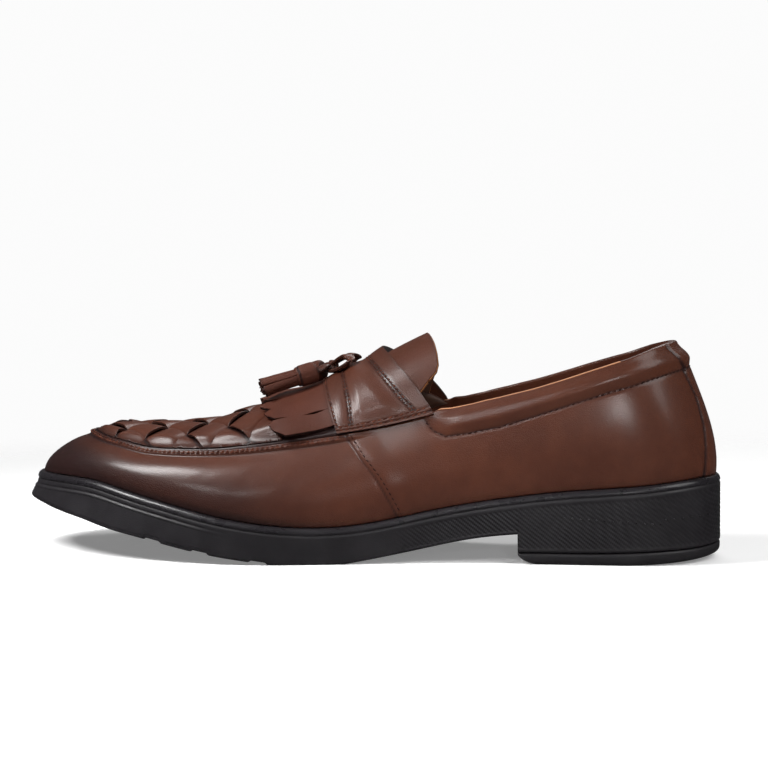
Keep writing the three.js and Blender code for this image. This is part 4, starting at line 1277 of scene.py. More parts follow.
def make_kiltie():
    bunch = Bunch()
    strips = len(FRINGE["length"])
    share = np.concatenate([np.linspace(0.0, 0.93, 34), np.linspace(0.94, 1.0, 9)])[:, None]
    sideways = edge_dense(-1.0, 1.0, 15)[None, :]
    cut = 0.016 * bell(share - 0.25, 0.12)
    for k, (length, slit, slant, curl, twist, nick) in enumerate(zip(*FRINGE.values())):
        has_left, has_right = k > 0, k < strips - 1
        following = min(k + 1, strips - 1)
        after = FRINGE["slit"][following]
        left_open = np.clip((share - slit) / (1 - slit), 0, 1) * has_left
        right_open = np.clip((share - after) / (1 - after), 0, 1) * has_right
        left = FRINGE_SIDES[k] + 0.010 * left_open ** 0.6 + 0.055 * ramp(share, 0.89, 1.0) * has_left
        right = FRINGE_SIDES[k + 1] - 0.010 * right_open ** 0.6 - 0.045 * ramp(share, 0.89, 1.0) * has_right
        left = left + cut * nick
        right = right - cut * FRINGE["nick"][following] * has_right
        across = mix(left, right, (sideways + 1) / 2) * mix(0.905, 0.998, share)
        front = mix(KILTIE_FRONT, KILTIE_CORNER, np.abs(across) ** 1.7)
        end = length + slant * sideways * 0.8
        if not (has_left and has_right):
            end = end - 0.10 * ramp(np.abs(across), 0.915, 0.99)
        start = SADDLE_FRONT + 0.0005
        at = start + (front - start) * share * end
        lift = FIT_GAP + KILTIE_LIFT * ramp(at, SADDLE_FRONT + 0.012, 0.594)
        free = ramp(share, min(slit, after) * 0.9, 1.0)
        lift = lift + free * (curl * 1.2 * share ** 2 + twist * sideways * 0.9 + 0.15 * sideways ** 2)
        points, normals = cap_read(at, across)
        thick = mix(1.45, KILTIE_THICK, ramp(share, 0.0, 0.3)) * (1 - 0.15 * free)
        top = points + normals * (lift + thick)[..., None]
        low = points + normals * lift[..., None]
        # Painted shade in the slits along the sides of the free strips and at the roots under the saddle's
        # edge, and darker towards the tips
        tone = 0.06 + 0.10 * np.abs(sideways) ** 6 * free + 0.10 * ramp(share, 0.9, 1.0)
        tone = tone + 0.35 * (1 - ramp(share, 0.02, 0.14))
        slab(bunch, top, low, bulge=0.05, marks=(0.8, 1.0, 1.0), burnish=tone)
    bunch.make("kiltie_fringe", [MATT_LEATHER], ["kiltie"], "leather")


make_kiltie()


# Tongue: goes on under the saddle and stands up over the instep

TONGUE_THICK = 2.2
TONGUE_GRID = (66, 104)
# Rear edge of the tongue by share across, cut a little askew
TONGUE = table(
    "across rear",
    (-1.00, 0.3925),
    (-0.93, 0.3835),
    (-0.85, 0.3812),
    (-0.70, 0.3820),
    (-0.50, 0.3845),
    (-0.25, 0.3885),
    (0.00, 0.3922),
    (0.30, 0.3935),
    (0.60, 0.3955),
    (0.85, 0.3965),
    (0.95, 0.3980),
    (1.00, 0.4010),
)
# How far its sides reach across at its front and rear
TONGUE_SIDES = (0.86, 0.74)
TONGUE_MARKS = (0.3, 1.0, 0.9, 0.2, 0.9, 1.0, 0.3)


def make_tongue():
    row = edge_dense(0.0, 1.0, TONGUE_GRID[0])[:, None]
    place = edge_dense(-1.0, 1.0, TONGUE_GRID[1])[None, :]
    front_across = place * TONGUE_SIDES[0]
    front = bent_station(THROAT_AT, front_across) - 0.0018
    rear = np.interp(place, TONGUE["across"], TONGUE["rear"])
    across = mix(front_across, place * TONGUE_SIDES[1], row)
    at = mix(front, np.minimum(rear, front - 0.004), row)
    points, normals = cap_read(at, across)
    soft = 0.35 * np.sin(row * math.pi) * np.cos(place * math.pi / 2)
    top = points + normals * (soft - FIT_GAP / 2)[..., None]
    low = points - normals * (FIT_GAP / 2 + TONGUE_THICK)
    bunch = Bunch()
    tone = 0.04 + 0.25 * ramp(row, 0.95, 1.0) + 0.2 * ramp(np.abs(place), 0.97, 1.0)
    # The tongue's underside is lining darkened as painted shade
    slab(bunch, top, low, bulge=0.45, steps=7, under_slot=1, marks=TONGUE_MARKS, burnish=tone)
    bunch.make("tongue_leather", [TONGUE_LEATHER, SHADED_LINING], ["tongue"], "leather")


make_tongue()


# Knot, loops and tassels

KNOT_AT = 0.509
KNOT_HIGH = 3.6
KNOT_SIZE = (3.4, 4.6, KNOT_HIGH * 0.62)
KNOT_SHIFT = (-4.0, 0.0, -1.9)
knot_base = cap_point(KNOT_AT, 0.0)
knot = np.array([knot_base[0], knot_base[1], knot_base[2] + FIT_GAP + SADDLE_THICK + KNOT_HIGH])
# From the knot to where a tassel starts and ends, on the inner side
TASSEL_ROOT = np.array([-8.0, 8.5, -3.2])
TASSEL_TIP = np.array([-35.0, 18.5, -11.6])
TASSEL_CAP = 9.4
TASSEL_SKIRT = 18.0
TASSEL_RADIUS = 4.5
TASSEL_CAP_GRID = (48, 44)
TASSEL_STRIP_GRID = (26, 7)
# Strips in the outer and the inner layer of a tassel's skirt
TASSEL_STRIPS = (9, 8)
TASSEL_PROFILE = table(
    "radius high",
    (0.02, 0.00),
    (0.50, 0.02),
    (0.78, 0.07),
    (0.95, 0.16),
    (1.00, 0.28),
    (1.00, 0.60),
    (1.00, 0.76),
    (0.97, 0.86),
    (0.90, 0.90),
    (0.92, 0.95),
    (0.86, 1.02),
    (0.45, 1.04),
    (0.02, 1.04),
)


def tassel_ends(side):
    turned = np.array([1.0, side, 1.0])
    return knot + TASSEL_ROOT * turned, knot + TASSEL_TIP * turned


def flat_frame(along):
    """Sideways and upward directions of something that runs along."""
    flat = unit(np.cross(np.array([0.0, 0.0, 1.0]), along))
    return flat, np.cross(along, flat)


def smooth_path(points, steps):
    """Even points along a smooth curve through a few given ones."""
    points = np.asarray(points, float)
    ends = np.concatenate([[2 * points[0] - points[1]], points, [2 * points[-1] - points[-2]]])
    place = np.linspace(0, len(points) - 1, steps)
    i = np.clip(place.astype(int), 0, len(points) - 2)
    t = (place - i)[:, None]
    a, b, c, d = (ends[i + k] for k in range(4))
    bent = (2 * a - 5 * b + 4 * c - d) * t ** 2 + (3 * b - a - 3 * c + d) * t ** 3
    return 0.5 * (2 * b + (c - a) * t + bent)


def strap(bunch, points, width, thick, steps, tone=0.45):
    """Flat thong with rounded sides along a smooth path."""
    path = smooth_path(points, steps)
    flat, up = flat_frame(unit(np.gradient(path, axis=0)))
    sideways = np.linspace(-1.0, 1.0, 9)
    crown = thick / 2 * (1 - 0.35 * np.abs(sideways) ** 3)
    body = path[:, None] + flat[:, None] * (width * sideways[None, :, None] / 2)
    rise = up[:, None] * crown[None, :, None]
    slab(bunch, body + rise, body - rise, bulge=0.15, burnish=tone)


# Path of each loop of the bow over the saddle, and the turn of thong wrapped round the knot
LOOP = table(
    "at across high",
    (0.514, 0.070, 1.1),
    (0.500, 0.150, 1.2),
    (0.486, 0.200, 1.5),
    (0.476, 0.190, 2.8),
    (0.480, 0.120, 4.0),
    (0.495, 0.060, 4.5),
    (0.508, 0.030, 3.8),
)
KNOT_WRAP = np.array([(2.0, 3.4, -1.4), (1.5, 2.3, 1.3), (1.1, 0.2, 2.5), (0.9, -1.8, 1.7)])


def make_bow():
    bunch = Bunch()
    tied = knot + KNOT_SHIFT
    around, rise, ball, faces = ball_grid(32, 17)
    fold = 1 + 0.10 * np.cos(around * 3 + rise * 2.5) * np.cos(rise)
    fold = fold - 0.16 * bell(np.sin(around - 0.7 - rise * 0.8), 0.22) * np.cos(rise)
    points = (ball * fold[..., None] * KNOT_SIZE + tied).reshape(-1, 3)
    creased = np.abs(np.sin(around * 3 + rise))
    # Painted shade in the knot's creases
    bunch.add(points, facing_out(points, faces), burnish=0.35 + 0.45 * creased)
    for side in (-1, 1):
        turned = np.array([1.0, side, 1.0])
        root, tip = tassel_ends(side)
        end = [tied, tied + turned * (-1.5, 4.6, 0.6), mix(root, tip, -0.02), mix(root, tip, 0.045)]
        strap(bunch, end, 3.6, 1.6, steps=26)
        points, normals = on_saddle(LOOP["at"], side * LOOP["across"])
        loop = points + normals * LOOP["high"][:, None]
        first, last = tied + turned * (1.0, 1.2, -0.4), tied + turned * (0.0, 0.6, 1.2)
        strap(bunch, [first, *loop, last], 4.4, 1.5, steps=80, tone=0.15)
        strap(bunch, KNOT_WRAP * turned + tied, 3.0, 1.2, steps=24, tone=0.4)
    bunch.make("knot_and_loops", [STRIP_LEATHER], ["bow"], "leather")


make_bow()


def add_tassel_cap(bunch, in_place):
    """Turned cap of a tassel, with the edge of its wrapped leather."""
    knots = np.linspace(0, 1, len(TASSEL_PROFILE["radius"]))
    fine = np.linspace(0, 1, TASSEL_CAP_GRID[1])
    radius = np.interp(fine, knots, TASSEL_PROFILE["radius"]) * TASSEL_RADIUS
    high = np.interp(fine, knots, TASSEL_PROFILE["high"]) * TASSEL_CAP
    around = np.linspace(0, 2 * math.pi, TASSEL_CAP_GRID[0] + 1)[:-1][:, None]
    wrap = 0.16 * ramp(around / (2 * math.pi), 0.0, 0.04) * (radius > 3.0)
    cap = in_place((radius + wrap) * np.cos(around), (radius + wrap) * np.sin(around), high + 0 * around)
    shade = 0.15 + 0.75 * bell(high - 0.90 * TASSEL_CAP, 0.5) + 0.45 * (high < 0.8)
    points = cap.reshape(-1, 3)
    faces = grid_faces(*cap.shape[:2], loop=True)
    bunch.add(points, facing_out(points, faces), burnish=np.clip(shade, 0, 1) + 0 * around)


def add_tassel_strip(bunch, in_place, rng, layer, strips, k):
    """One strip of a tassel's skirt, in its outer layer, 0, or its inner one, 1."""
    share = np.linspace(0.0, 1.0, TASSEL_STRIP_GRID[0])[:, None]
    sideways = np.linspace(-1.0, 1.0, TASSEL_STRIP_GRID[1])[None, :]
    middle = (k + 0.5 * layer + rng.uniform(-0.12, 0.12)) / strips * 2 * math.pi
    reach = TASSEL_SKIRT * rng.uniform(0.88, 1.0)
    ragged = 1 + 0.035 * rng.uniform(-1, 1) * sideways + 0.02 * rng.uniform(-1, 1) * sideways ** 2
    z = TASSEL_CAP * 0.86 + reach * share * ragged
    half = math.pi / strips * mix(0.98, 1.12 if layer == 0 else 0.9, share)
    angle = middle + half * sideways + share ** 2 * rng.uniform(-0.14, 0.14)
    open_out = mix(0.80 - 0.30 * layer, 0.93 - 0.30 * layer, share ** 1.2)
    radial = TASSEL_RADIUS * open_out + np.zeros_like(angle)
    radial = radial + share ** 2 * rng.uniform(-0.35, 0.65)
    radial = radial + 0.60 * share * rng.uniform(-1, 1) * sideways
    radial = radial - 0.45 * share * sideways ** 2 * rng.uniform(0.2, 1.0)
    wave = np.sin(share * math.pi * rng.uniform(1.0, 2.2) + rng.uniform(0, 3))
    radial = radial + 0.22 * wave * share
    x = radial * np.cos(angle) * mix(1.0, 1.12, share)
    y = radial * np.sin(angle) * mix(1.0, 0.86, share)
    thin = 1 - 0.85 / np.maximum(radial, 1.0)
    # A random tone for each strip, darker towards the tips, and painted shade at the roots under the cap
    tone = 0.10 + 0.35 * rng.uniform() + 0.3 * ramp(share, 0.9, 1.0) + 0.55 * bell(share, 0.08)
    slab(bunch, in_place(x, y, z), in_place(x * thin, y * thin, z), bulge=0.08, steps=2,
         burnish=np.clip(tone, 0, 1))


def make_tassel(name, node, side, seed):
    rng = np.random.default_rng(seed)
    root, tip = tassel_ends(side)
    along = unit(tip - root)
    flat, up = flat_frame(along)

    def in_place(x, y, z):
        return root + flat * x[..., None] + up * y[..., None] + along * z[..., None]

    bunch = Bunch()
    add_tassel_cap(bunch, in_place)
    for layer, strips in enumerate(TASSEL_STRIPS):
        for k in range(strips):
            add_tassel_strip(bunch, in_place, rng, layer, strips, k)
    bunch.make(name, [MATT_LEATHER], [node], "leather")


make_tassel("tassel_outer_leather", "tassel_outer", -1, 11)
make_tassel("tassel_inner_leather", "tassel_inner", 1, 12)


# Insole: lining sheet with a cushioned heel pad, its place for a label left bare

INSOLE_THICK = 3.0
INSOLE_GAP = 1.6
INSOLE_GRID = (150, 41)
# How far forward its heel pad reaches, as a share along the shoe
PAD_FRONT = 0.251


def make_insole():
    turn = np.linspace(0.04, 0.96, INSOLE_GRID[0])
    at = share_of(turn)
    across = np.linspace(-1.0, 1.0, INSOLE_GRID[1])
    inset = feather_inset(outer_place(at)) + UPPER_WALL + INSOLE_GAP
    outer = inset_point(outer_place(at), inset, rim_z(outer_place(at)) + FIT_GAP)
    inner = inset_point(inner_place(at), inset, rim_z(outer_place(at)) + FIT_GAP)
    share = (across[:, None] + 1) / 2
    low = outer[:, None] * (1 - share) + inner[:, None] * share
    at, reach = at[:, None], np.abs(across)
    pad = (1 - ramp(at, 0.24, 0.262)) * (1 - ramp(reach, 0.86, 0.94))
    high = INSOLE_THICK - 0.5 + 0.5 * across ** 4 + 0.7 * pad
    seam = bell((at - PAD_FRONT) * SOLE_LENGTH, 1.0) + bell((reach - 0.9) * 28.0, 0.8) * (at < 0.25)
    top = low.copy()
    top[..., 2] += high - 0.2 * np.clip(seam, 0, 1)
    bunch = Bunch()
    slab(bunch, top, low, bulge=0.2, burnish=np.clip(seam, 0, 1) * 0.4)
    bunch.make("insole_lining", [TAN], ["insole"], "lining")


make_insole()


# Unit sole: rim bead, plain band, slanting ribs on the shank and heel, and a lugged tread underneath

BEAD_HEIGHT = 2.6
BEAD_DEPTH = 0.40
# Inset and drop of each ring of the bead and of the groove below it, and the rings that are glossy
BEAD = ((1.15, 0.12), (0.70, 0.45), (0.35, 0.95), (0.12, 1.5), (0.04, 2.0), (0.10, 2.35), (BEAD_DEPTH, 2.6),
        (BEAD_DEPTH + 0.05, 2.85), (0.22, 3.15), (0.06, 3.5))
BEAD_LEVELS = slice(2, 9)
# Inset and rise of the rings that round the side off at its foot
FOOT_LEVELS = ((0.05, 0.8), (0.22, 0.4), (0.60, 0.1), (1.20, 0.0))
RIB_START = 0.445
RIB_DEPTH = 0.42
RIB_RUN = 2.45
RIB_RISE = 1.9
TREAD_DEPTH = 1.5
CHANNELS = (0.773, 0.704, 0.623)
CHANNEL_WIDTH = 8.0
PIP_RADIUS = 0.34
PIP_APART = 2.8
PIP_ROWS = table(
    "start end start_z end_z",
    (-23.0, 15.5, 19.3, 17.0),
    (17.5, 38.5, 18.9, 20.0),
)
SIDE_LEVELS = 44
SOLE_COLUMNS = 520
HEEL_COLUMNS = 150
SOLE_WIDTH_FACES = 30
HEEL_WIDTH_FACES = 36
TOP_WIDTH_FACES = 6
# Rise of the heel's joint line and of its underside: how far, from where, over what length, and how curved
JOINT_RISE = (2.4, -14.0, 55.0, 1.3)
UNDER_RISE = (2.8, 2.0, 38.0, 1.6)
# Length of outline at the back of the heel over which the ribs bend round
HEEL_BACK = 34.0


def channel_depth(at, depth, slope):
    """How deep the tread's channels are at a place, with sides that slope over a given length."""
    cut = np.zeros_like(at)
    for place in CHANNELS:
        cut = np.maximum(cut, depth * ramp(CHANNEL_WIDTH / 2 - np.abs(at - place) * SOLE_LENGTH, 0.0, slope))
    return cut


def closed_block(grid, partner, width, tread):
    """Points and faces of a block whose side is a grid of rings, and the first numbers of its points.

    Sheets on top and underneath run from each point of one half ring to its partner on the other. The one
    underneath is width faces wide, and is raised by what tread says.
    """
    rows, columns = grid.shape[:2]
    count = len(partner)
    points = [grid.reshape(-1, 3)]
    faces = [grid_faces(rows, columns, loop=True)[:, ::-1]]
    used = rows * columns
    for level, wide, turned in ((0, TOP_WIDTH_FACES, False), (columns - 1, width, True)):
        part = np.linspace(0.0, 1.0, wide + 1)
        share = part[:, None]
        sheet = grid[:count, level][:, None] * (1 - share) + grid[partner, level][:, None] * share
        if turned:
            sheet[..., 2] += tread(sheet, part)
        numbers = used + np.arange(count * (wide + 1)).reshape(count, wide + 1)
        numbers[:, 0] = np.arange(count) * columns + level
        numbers[:, -1] = partner * columns + level
        quads = np.stack([numbers[:-1, :-1], numbers[1:, :-1], numbers[1:, 1:], numbers[:-1, 1:]], -1)
        quads = quads.reshape(-1, 4)
        faces.append(quads[:, ::-1] if turned else quads)
        points.append(sheet.reshape(-1, 3))
        used += count * (wide + 1)
    points, faces = np.concatenate(points), np.concatenate(faces)
    kept, faces = np.unique(faces, return_inverse=True)
    points, faces = points[kept], faces.reshape(-1, 4)
    return points, facing_out(points, faces), kept


def heel_lift(x, rise):
    """How far the heel's joint line or its underside rises towards the back."""
    most, start, length, power = rise
    return most * np.clip((x - start) / length, 0.0, 1.0) ** power


def sole_underside(at):
    heel = TOP_PIECE_HEIGHT + FIT_GAP + heel_lift(HEEL_OFFSET - SOLE_LENGTH * at, JOINT_RISE)
    return np.where(at <= BREAST_AT, heel, under_z(at) + channel_depth(at, 0.8, 1.2))


def bead_levels(q):
    """Insets and heights of the ledge under the upper, of the rim's bead and of the groove below it."""
    rim, flare, ledge = rim_z(q), flare_at(q), feather_inset(q)
    return ([(ledge + 2.5, rim), (ledge + 0.1, rim), (flare + 1.7, rim)]
            + [(flare + inset, rim - drop) for inset, drop in BEAD])


def side_levels(q, run, whole):
    """Insets and heights of the ribbed side and its foot; run is the length up to each place, of whole."""
    at, rim, flare = share_at(q), rim_z(q), flare_at(q)
    under = sole_underside(at)
    start = rim - BEAD_HEIGHT - 1.2
    end = under + 1.2
    share = np.linspace(0.0, 1.0, SIDE_LEVELS)
    z = start[:, None] + (end - start)[:, None] * share
    inset = flare[:, None] * (1 - share)
    ribbed = ramp(-at, -RIB_START, -RIB_START + 0.035)[:, None]
    ribbed = ribbed * ramp(start[:, None] - z, 0.4, 1.4) * ramp(z - end[:, None], -0.2, 0.6)
    heel_back = ramp(run, whole - HEEL_BACK, whole)[:, None]
    bend = (HEEL_BACK * heel_back ** 2) / RIB_RUN * 0.42
    phase = run[:, None] / RIB_RUN - bend + z / RIB_RISE
    wave = np.abs(np.mod(phase, 1.0) - 0.5) * 2
    inset = inset + ribbed * (RIB_DEPTH * (1 - ramp(wave, 0.18, 0.62)))
    ledge = ramp(at, 0.66, 0.74)[:, None]
    drop = start[:, None] - z
    inset = inset + ledge * (0.36 * bell(drop - 1.2, 0.42) - 0.12 * bell(drop - 2.2, 0.32))
    inset = inset + ledge * (0.10 * ramp(drop, 2.3, 2.8) + 0.25 * ramp(z - end[:, None], 0.4, 0.0))
    foot = [(np.full(len(q), foot_inset), under + rise) for foot_inset, rise in FOOT_LEVELS]
    return list(zip(inset.T, z.T)) + foot


def make_outsole():
    fine = np.linspace(0.0, 0.5, FINE_STEPS)
    length = run_along(outline_point(fine))
    halves = np.interp(np.linspace(0, length[-1], SOLE_COLUMNS), length, fine)
    # Two rings close together where the underside steps at the front of the heel
    breast = float(outer_place(BREAST_AT))
    halves = np.sort(np.concatenate([halves, [breast - 1e-4, breast + 1e-6]]))
    run_half = np.interp(halves, fine, length)
    count = len(halves)
    q = np.concatenate([halves, 1.0 - halves[-2:0:-1]])
    run = np.concatenate([run_half, run_half[-2:0:-1]])
    levels = bead_levels(q) + side_levels(q, run, length[-1])
    grid = np.stack([inset_point(q, inset, high) for inset, high in levels], axis=1)
    partner = np.concatenate([[0], np.arange(len(q) - 1, count - 1, -1), [count - 1]])

    def tread(sheet, part):
        return sole_tread(sheet, share_at(halves), part)

    points, faces, kept = closed_block(grid, partner, SOLE_WIDTH_FACES, tread)
    polished = np.zeros(grid.shape[:2])
    polished[:, BEAD_LEVELS] = 1.0
    polished = np.append(polished, 0.0)
    bunch = Bunch()
    bunch.add(points, faces, polish=polished[np.minimum(kept, len(polished) - 1)])
    add_pips(bunch)
    bunch.make("unit_sole", [RUBBER], ["outsole"], "rubber")


def add_pips(bunch):
    """Rows of small moulded pips across both sides of the heel."""
    _, _, ball, faces = ball_grid(10, 7)
    ball = ball.reshape(-1, 3) * PIP_RADIUS
    faces = facing_out(ball, faces)
    for start, end, start_z, end_z in zip(*PIP_ROWS.values()):
        count = int(abs(end - start) / PIP_APART)
        x = np.linspace(start, end, count)
        at = (HEEL_OFFSET - x) / SOLE_LENGTH
        for q in (outer_place(at), inner_place(at)):
            for point in inset_point(q, flare_at(q) * 0.5, np.linspace(start_z, end_z, count)):
                bunch.add(ball + point, faces, polish=1.0)


def sole_tread(sheet, at, part):
    """Depth of the tread's channels and slanting grooves over the underside."""
    station = np.broadcast_to(at[:, None], sheet.shape[:2])
    inward = np.minimum(part, 1 - part) * 2
    forefoot = ramp(station, 0.50, 0.53) * (1 - ramp(station, 0.94, 0.96)) * ramp(inward, 0.04, 0.14)
    chevron = np.mod((sheet[..., 0] + 0.55 * np.abs((part - 0.5) * 90.0)) / 7.0, 1.0)
    cut = 1 - ramp(np.abs(chevron - 0.5) * 2, 0.25, 0.42)
    depth = np.maximum(channel_depth(station, TREAD_DEPTH, 0.8), cut * forefoot * (inward > 0.1))
    return depth * ((part > 0) & (part < 1))


make_outsole()


def heel_tread(sheet, part):
    """Depth of the grooves in the tread of the heel's top piece."""
    x, y = sheet[..., 0], sheet[..., 1]
    wave = np.abs(np.mod((x + 0.35 * np.abs(y)) / 8.0, 1.0) - 0.5) * 2
    fit = ramp(np.minimum(part, 1 - part) * 2, 0.10, 0.22) * ramp(x, -33.0, -28.0) * (1 - ramp(x, 28.0, 33.0))
    return 0.9 * (1 - ramp(wave, 0.2, 0.4)) * fit


def make_heel_piece():
    """Top piece under the heel block, with its front edge cut back underneath and grooves in its tread."""
    at = share_of(mix(turn_of(BREAST_AT), 1.0, np.linspace(0, 1, HEEL_COLUMNS)))
    count = len(at)
    levels = [
        (0.0, 1.00, TOP_PIECE_HEIGHT),
        (0.0, 0.55, TOP_PIECE_HEIGHT - 0.12),
        (0.0, 0.22, TOP_PIECE_HEIGHT - 0.55),
        (0.06, 0.12, TOP_PIECE_HEIGHT - 1.2),
        (0.18, 0.12, TOP_PIECE_HEIGHT * 0.55),
        (0.35, 0.20, TOP_PIECE_HEIGHT * 0.36),
        (0.58, 0.42, TOP_PIECE_HEIGHT * 0.20),
        (0.82, 0.85, TOP_PIECE_HEIGHT * 0.07),
        (1.0, 1.5, 0.0),
    ]
    rings = []
    for cut, inset, z in levels:
        clipped = np.minimum(at, BREAST_AT - HEEL_CHAMFER / SOLE_LENGTH * cut)
        outer, inner = (inset_point(side_place(clipped, side), inset, z) for side in (-1, 1))
        rings.append(np.concatenate([outer, inner[-2::-1]]))
    grid = np.stack(rings, axis=1)
    x, high = grid[..., 0], grid[..., 2] / TOP_PIECE_HEIGHT
    grid[..., 2] += mix(heel_lift(x, UNDER_RISE), heel_lift(x, JOINT_RISE), high)
    partner = np.arange(len(grid) - 1, count - 2, -1)
    points, faces, _ = closed_block(grid, partner, HEEL_WIDTH_FACES, heel_tread)
    bunch = Bunch()
    bunch.add(points, faces)
    bunch.make("heel_tread", [TOP_RUBBER], ["heel_top_piece"], "rubber")


make_heel_piece()


# Stitches along every sewn seam

def wall_level(q, down):
    """Level on the wall a given length below its top line."""
    column = np.interp(np.mod(q, 1.0), np.append(wall_q, 1.0), np.arange(WALL_COLUMNS + 1))
    column = np.round(column).astype(int) % WALL_COLUMNS
    return np.array([np.interp(-down, -wall_down[c], wall_v) for c in column])


def make_stitches():
    seam, dark = Bunch(), Bunch()
    q = np.mod(np.linspace(inner_place(SADDLE_FRONT) - 1.0, outer_place(SADDLE_FRONT), 900), 1.0)
    for down, length, gap, lean in ((SEAM_ROWS[0], 1.5, 0.6, 0.40), (SEAM_ROWS[1], 1.8, 0.30, 0.10)):
        points, normals = wall_sheet.read(q, wall_level(q, down))
        stitches(seam, points, normals, length=length, gap=gap, radius=0.31, lift=0.10, lean=lean)
    for side in (-1, 1):
        q, v, _ = along_path(COLLAR["at"][:-1], COLLAR["v"][:-1], side)
        points, normals = wall_sheet.read(q, v)
        stitches(dark, points, normals, length=1.7, gap=0.7, radius=0.27, lift=0.08)
        q, v, _ = along_path(QUARTER["at"] - 0.0066, QUARTER["v"], side)
        keep = v < 0.975
        points, normals = wall_sheet.read(q[keep], v[keep])
        stitches(dark, points, normals, length=1.6, gap=0.7, radius=0.25, lift=0.08)
    across = np.linspace(-0.94, 0.94, 400)
    lines = (saddle_line(name, across) for name in ("front", "rows", "diagonal"))
    for line, _ in saddle_seams(*lines):
        points, normals = on_saddle(line, across)
        stitches(seam, points, normals, length=1.6, gap=0.6, radius=0.27, lift=0.08)
    for side in (-1, 1):
        for line, length, gap in ((FOOT_ROWS[0], 1.9, 0.4), (FOOT_ROWS[1], 1.6, 0.6)):
            at = np.linspace(SADDLE_FRONT, THROAT_AT + 0.006, 300)
            points, normals = on_saddle(at, np.full(300, side * line))
            stitches(seam, points, normals, length=length, gap=gap, radius=0.30, lift=0.10)
    seam.make("seam_stitches", [THREAD], [], "leather")
    dark.make("fine_stitches", [DARK_THREAD], [], "leather")


make_stitches()


# Plain pale floor, soft studio light and the camera at the photograph's angle

SURROUND_RADIUS = 6.0
SENSOR_WIDTH = 36.0
# Focal length as a share of the picture's width
FOCAL_SHARE = 1675.0 / 768.0
CAMERA_PLACE = np.array([-1.59, -711.75, 113.46]) / 1000.0
CAMERA_AIM = np.array([-101.62, 0.0, 70.98]) / 1000.0
SHOE_MIDDLE = (-0.11, 0.0, 0.05)
TOE = (-0.19, -0.02, 0.05)
HEEL_SIDE = (-0.004, -0.035, 0.070)
SADDLE_SIDE = (-0.098, -0.035, 0.073)
KEY_PLACE = (-0.405, -0.165, 0.41)
KEY_ALONG = (0.84, 0.34, 0.42)


def hang_lamp(name, light, place, power, turn):
    light.energy = power
    lamp = into_scene(bpy.data.objects.new(name, light))
    lamp.location = place
    lamp.rotation_euler = turn


def spot_light(name, place, aim, angle, radius, power):
    """Small soft spot lamp with a narrow cone that fades out."""
    light = bpy.data.lights.new(name, "SPOT")
    light.spot_size = math.radians(angle)
    light.spot_blend = 1.0
    light.shadow_soft_size = radius
    hang_lamp(name, light, place, power, look_along(np.array(aim) - np.array(place)))


def area_light(name, place, aim, size, power, long=(1.0, 0.0, 0.0), spread=180.0):
    """Softbox at a place, turned to its aim, with its long side along a direction."""
    light = bpy.data.lights.new(name, "AREA")
    light.shape = "RECTANGLE"
    light.spread = math.radians(spread)
    light.size, light.size_y = size
    away = unit(np.array(place) - np.array(aim))
    side = unit(np.array(long) - away * np.dot(away, long))
    turn = Matrix(np.stack([side, np.cross(away, side), away], 1).tolist()).to_euler()
    hang_lamp(name, light, place, power, turn)


def placed(middle, azimuth, elevation, distance):
    """Place around a point, turned in degrees from the outer side to the heel, and raised."""
    a, e = math.radians(azimuth), math.radians(elevation)
    away = np.array([math.sin(a) * math.cos(e), -math.cos(a) * math.cos(e), math.sin(e)])
    return tuple(float(c) for c in np.array(middle) + away * distance)


def look_along(direction):
    return Vector([float(c) for c in direction]).to_track_quat("-Z", "Y").to_euler()


def make_floor():
    """Pale floor that fades into an even pale surround, which only the camera sees."""
    ring = np.linspace(0, 2 * math.pi, 65)[:-1]
    mesh = bpy.data.meshes.new("floor")
    points = [(math.cos(angle), math.sin(angle), 0.0) for angle in ring]
    mesh.from_pydata(points, [], [tuple(range(len(points)))])
    n = Nodes("pale_floor")
    colour = n.blend(n.spread(n.noise(3.0, 2.0, 0.5), 0.3, 0.7), (0.86, 0.86, 0.86), (0.88, 0.88, 0.88))
    far = n.tree.nodes.new("ShaderNodeVectorMath")
    far.operation = "LENGTH"
    n.put(n.place, far.inputs[0])
    n.put(n.spread(far.outputs["Value"], 0.30, 0.66, 1.0, 0.0), n.shader.inputs["Alpha"])
    n.put((1.0, 1.0, 1.0), n.shader.inputs["Emission Color"])
    n.put(0.22, n.shader.inputs["Emission Strength"])
    mesh.materials.append(n.finish(colour, 0.8, specular=0.1))
    floor = into_scene(bpy.data.objects.new("floor", mesh))
    floor.visible_glossy = False


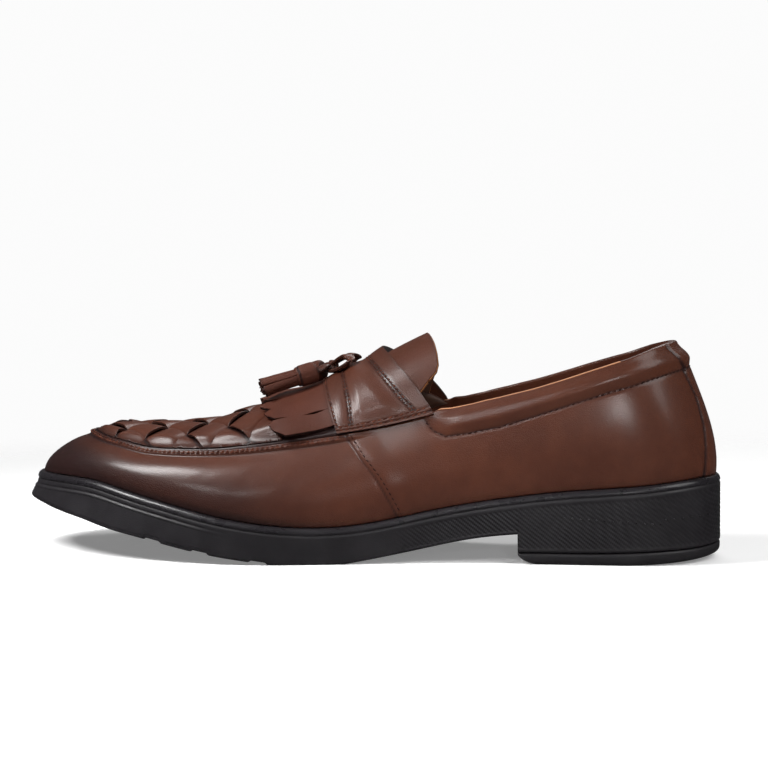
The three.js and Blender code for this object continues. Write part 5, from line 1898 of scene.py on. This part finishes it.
def make_surround():
    _, _, points, faces = ball_grid(24, 13)
    mesh = bpy.data.meshes.new("surround")
    mesh.from_pydata((points * SURROUND_RADIUS).reshape(-1, 3).tolist(), [], faces.tolist())
    material = bpy.data.materials.new("pale_surround")
    material.use_nodes = True
    nodes = material.node_tree.nodes
    nodes.clear()
    glow = nodes.new("ShaderNodeEmission")
    glow.inputs["Color"].default_value = (0.97, 0.97, 0.97, 1.0)
    out = nodes.new("ShaderNodeOutputMaterial")
    material.node_tree.links.new(glow.outputs[0], out.inputs[0])
    mesh.materials.append(material)
    shell = into_scene(bpy.data.objects.new("surround", mesh))
    for sight in ("visible_glossy", "visible_diffuse", "visible_shadow", "visible_transmission"):
        setattr(shell, sight, False)


def make_world():
    world = bpy.data.worlds.new("studio")
    world.use_nodes = True
    background = world.node_tree.nodes["Background"]
    background.inputs["Color"].default_value = (1.0, 1.0, 1.0, 1.0)
    background.inputs["Strength"].default_value = 0.06
    bpy.context.scene.world = world


def make_camera():
    camera = bpy.data.cameras.new("camera")
    camera.sensor_width = SENSOR_WIDTH
    camera.lens = FOCAL_SHARE * SENSOR_WIDTH
    camera.clip_start = 0.05
    camera.clip_end = 50.0
    eye = into_scene(bpy.data.objects.new("camera", camera))
    eye.location = CAMERA_PLACE
    eye.rotation_euler = look_along(CAMERA_AIM - CAMERA_PLACE)
    bpy.context.scene.camera = eye


make_floor()
make_surround()
make_world()
make_camera()
area_light("key", KEY_PLACE, TOE, (0.22, 0.13), 1.5, long=KEY_ALONG, spread=120.0)
area_light("right_fill", placed(SHOE_MIDDLE, 62.0, 40.0, 1.1), SHOE_MIDDLE, (0.70, 0.60), 7.5)
area_light("back", placed(SHOE_MIDDLE, 165.0, 45.0, 1.1), SHOE_MIDDLE, (0.70, 0.40), 4.5)
spot_light("saddle_spot", placed(SADDLE_SIDE, -27.0, 35.0, 1.0), SADDLE_SIDE, 8.0, 0.075, 24.0)
spot_light("saddle_edge_spot", placed(SADDLE_SIDE, -8.0, 34.0, 1.0), SADDLE_SIDE, 7.0, 0.07, 10.0)
spot_light("heel_spot", placed(HEEL_SIDE, 13.0, 15.0, 1.0), HEEL_SIDE, 10.0, 0.08, 14.0)
bpy.context.scene.view_settings.view_transform = "Standard"
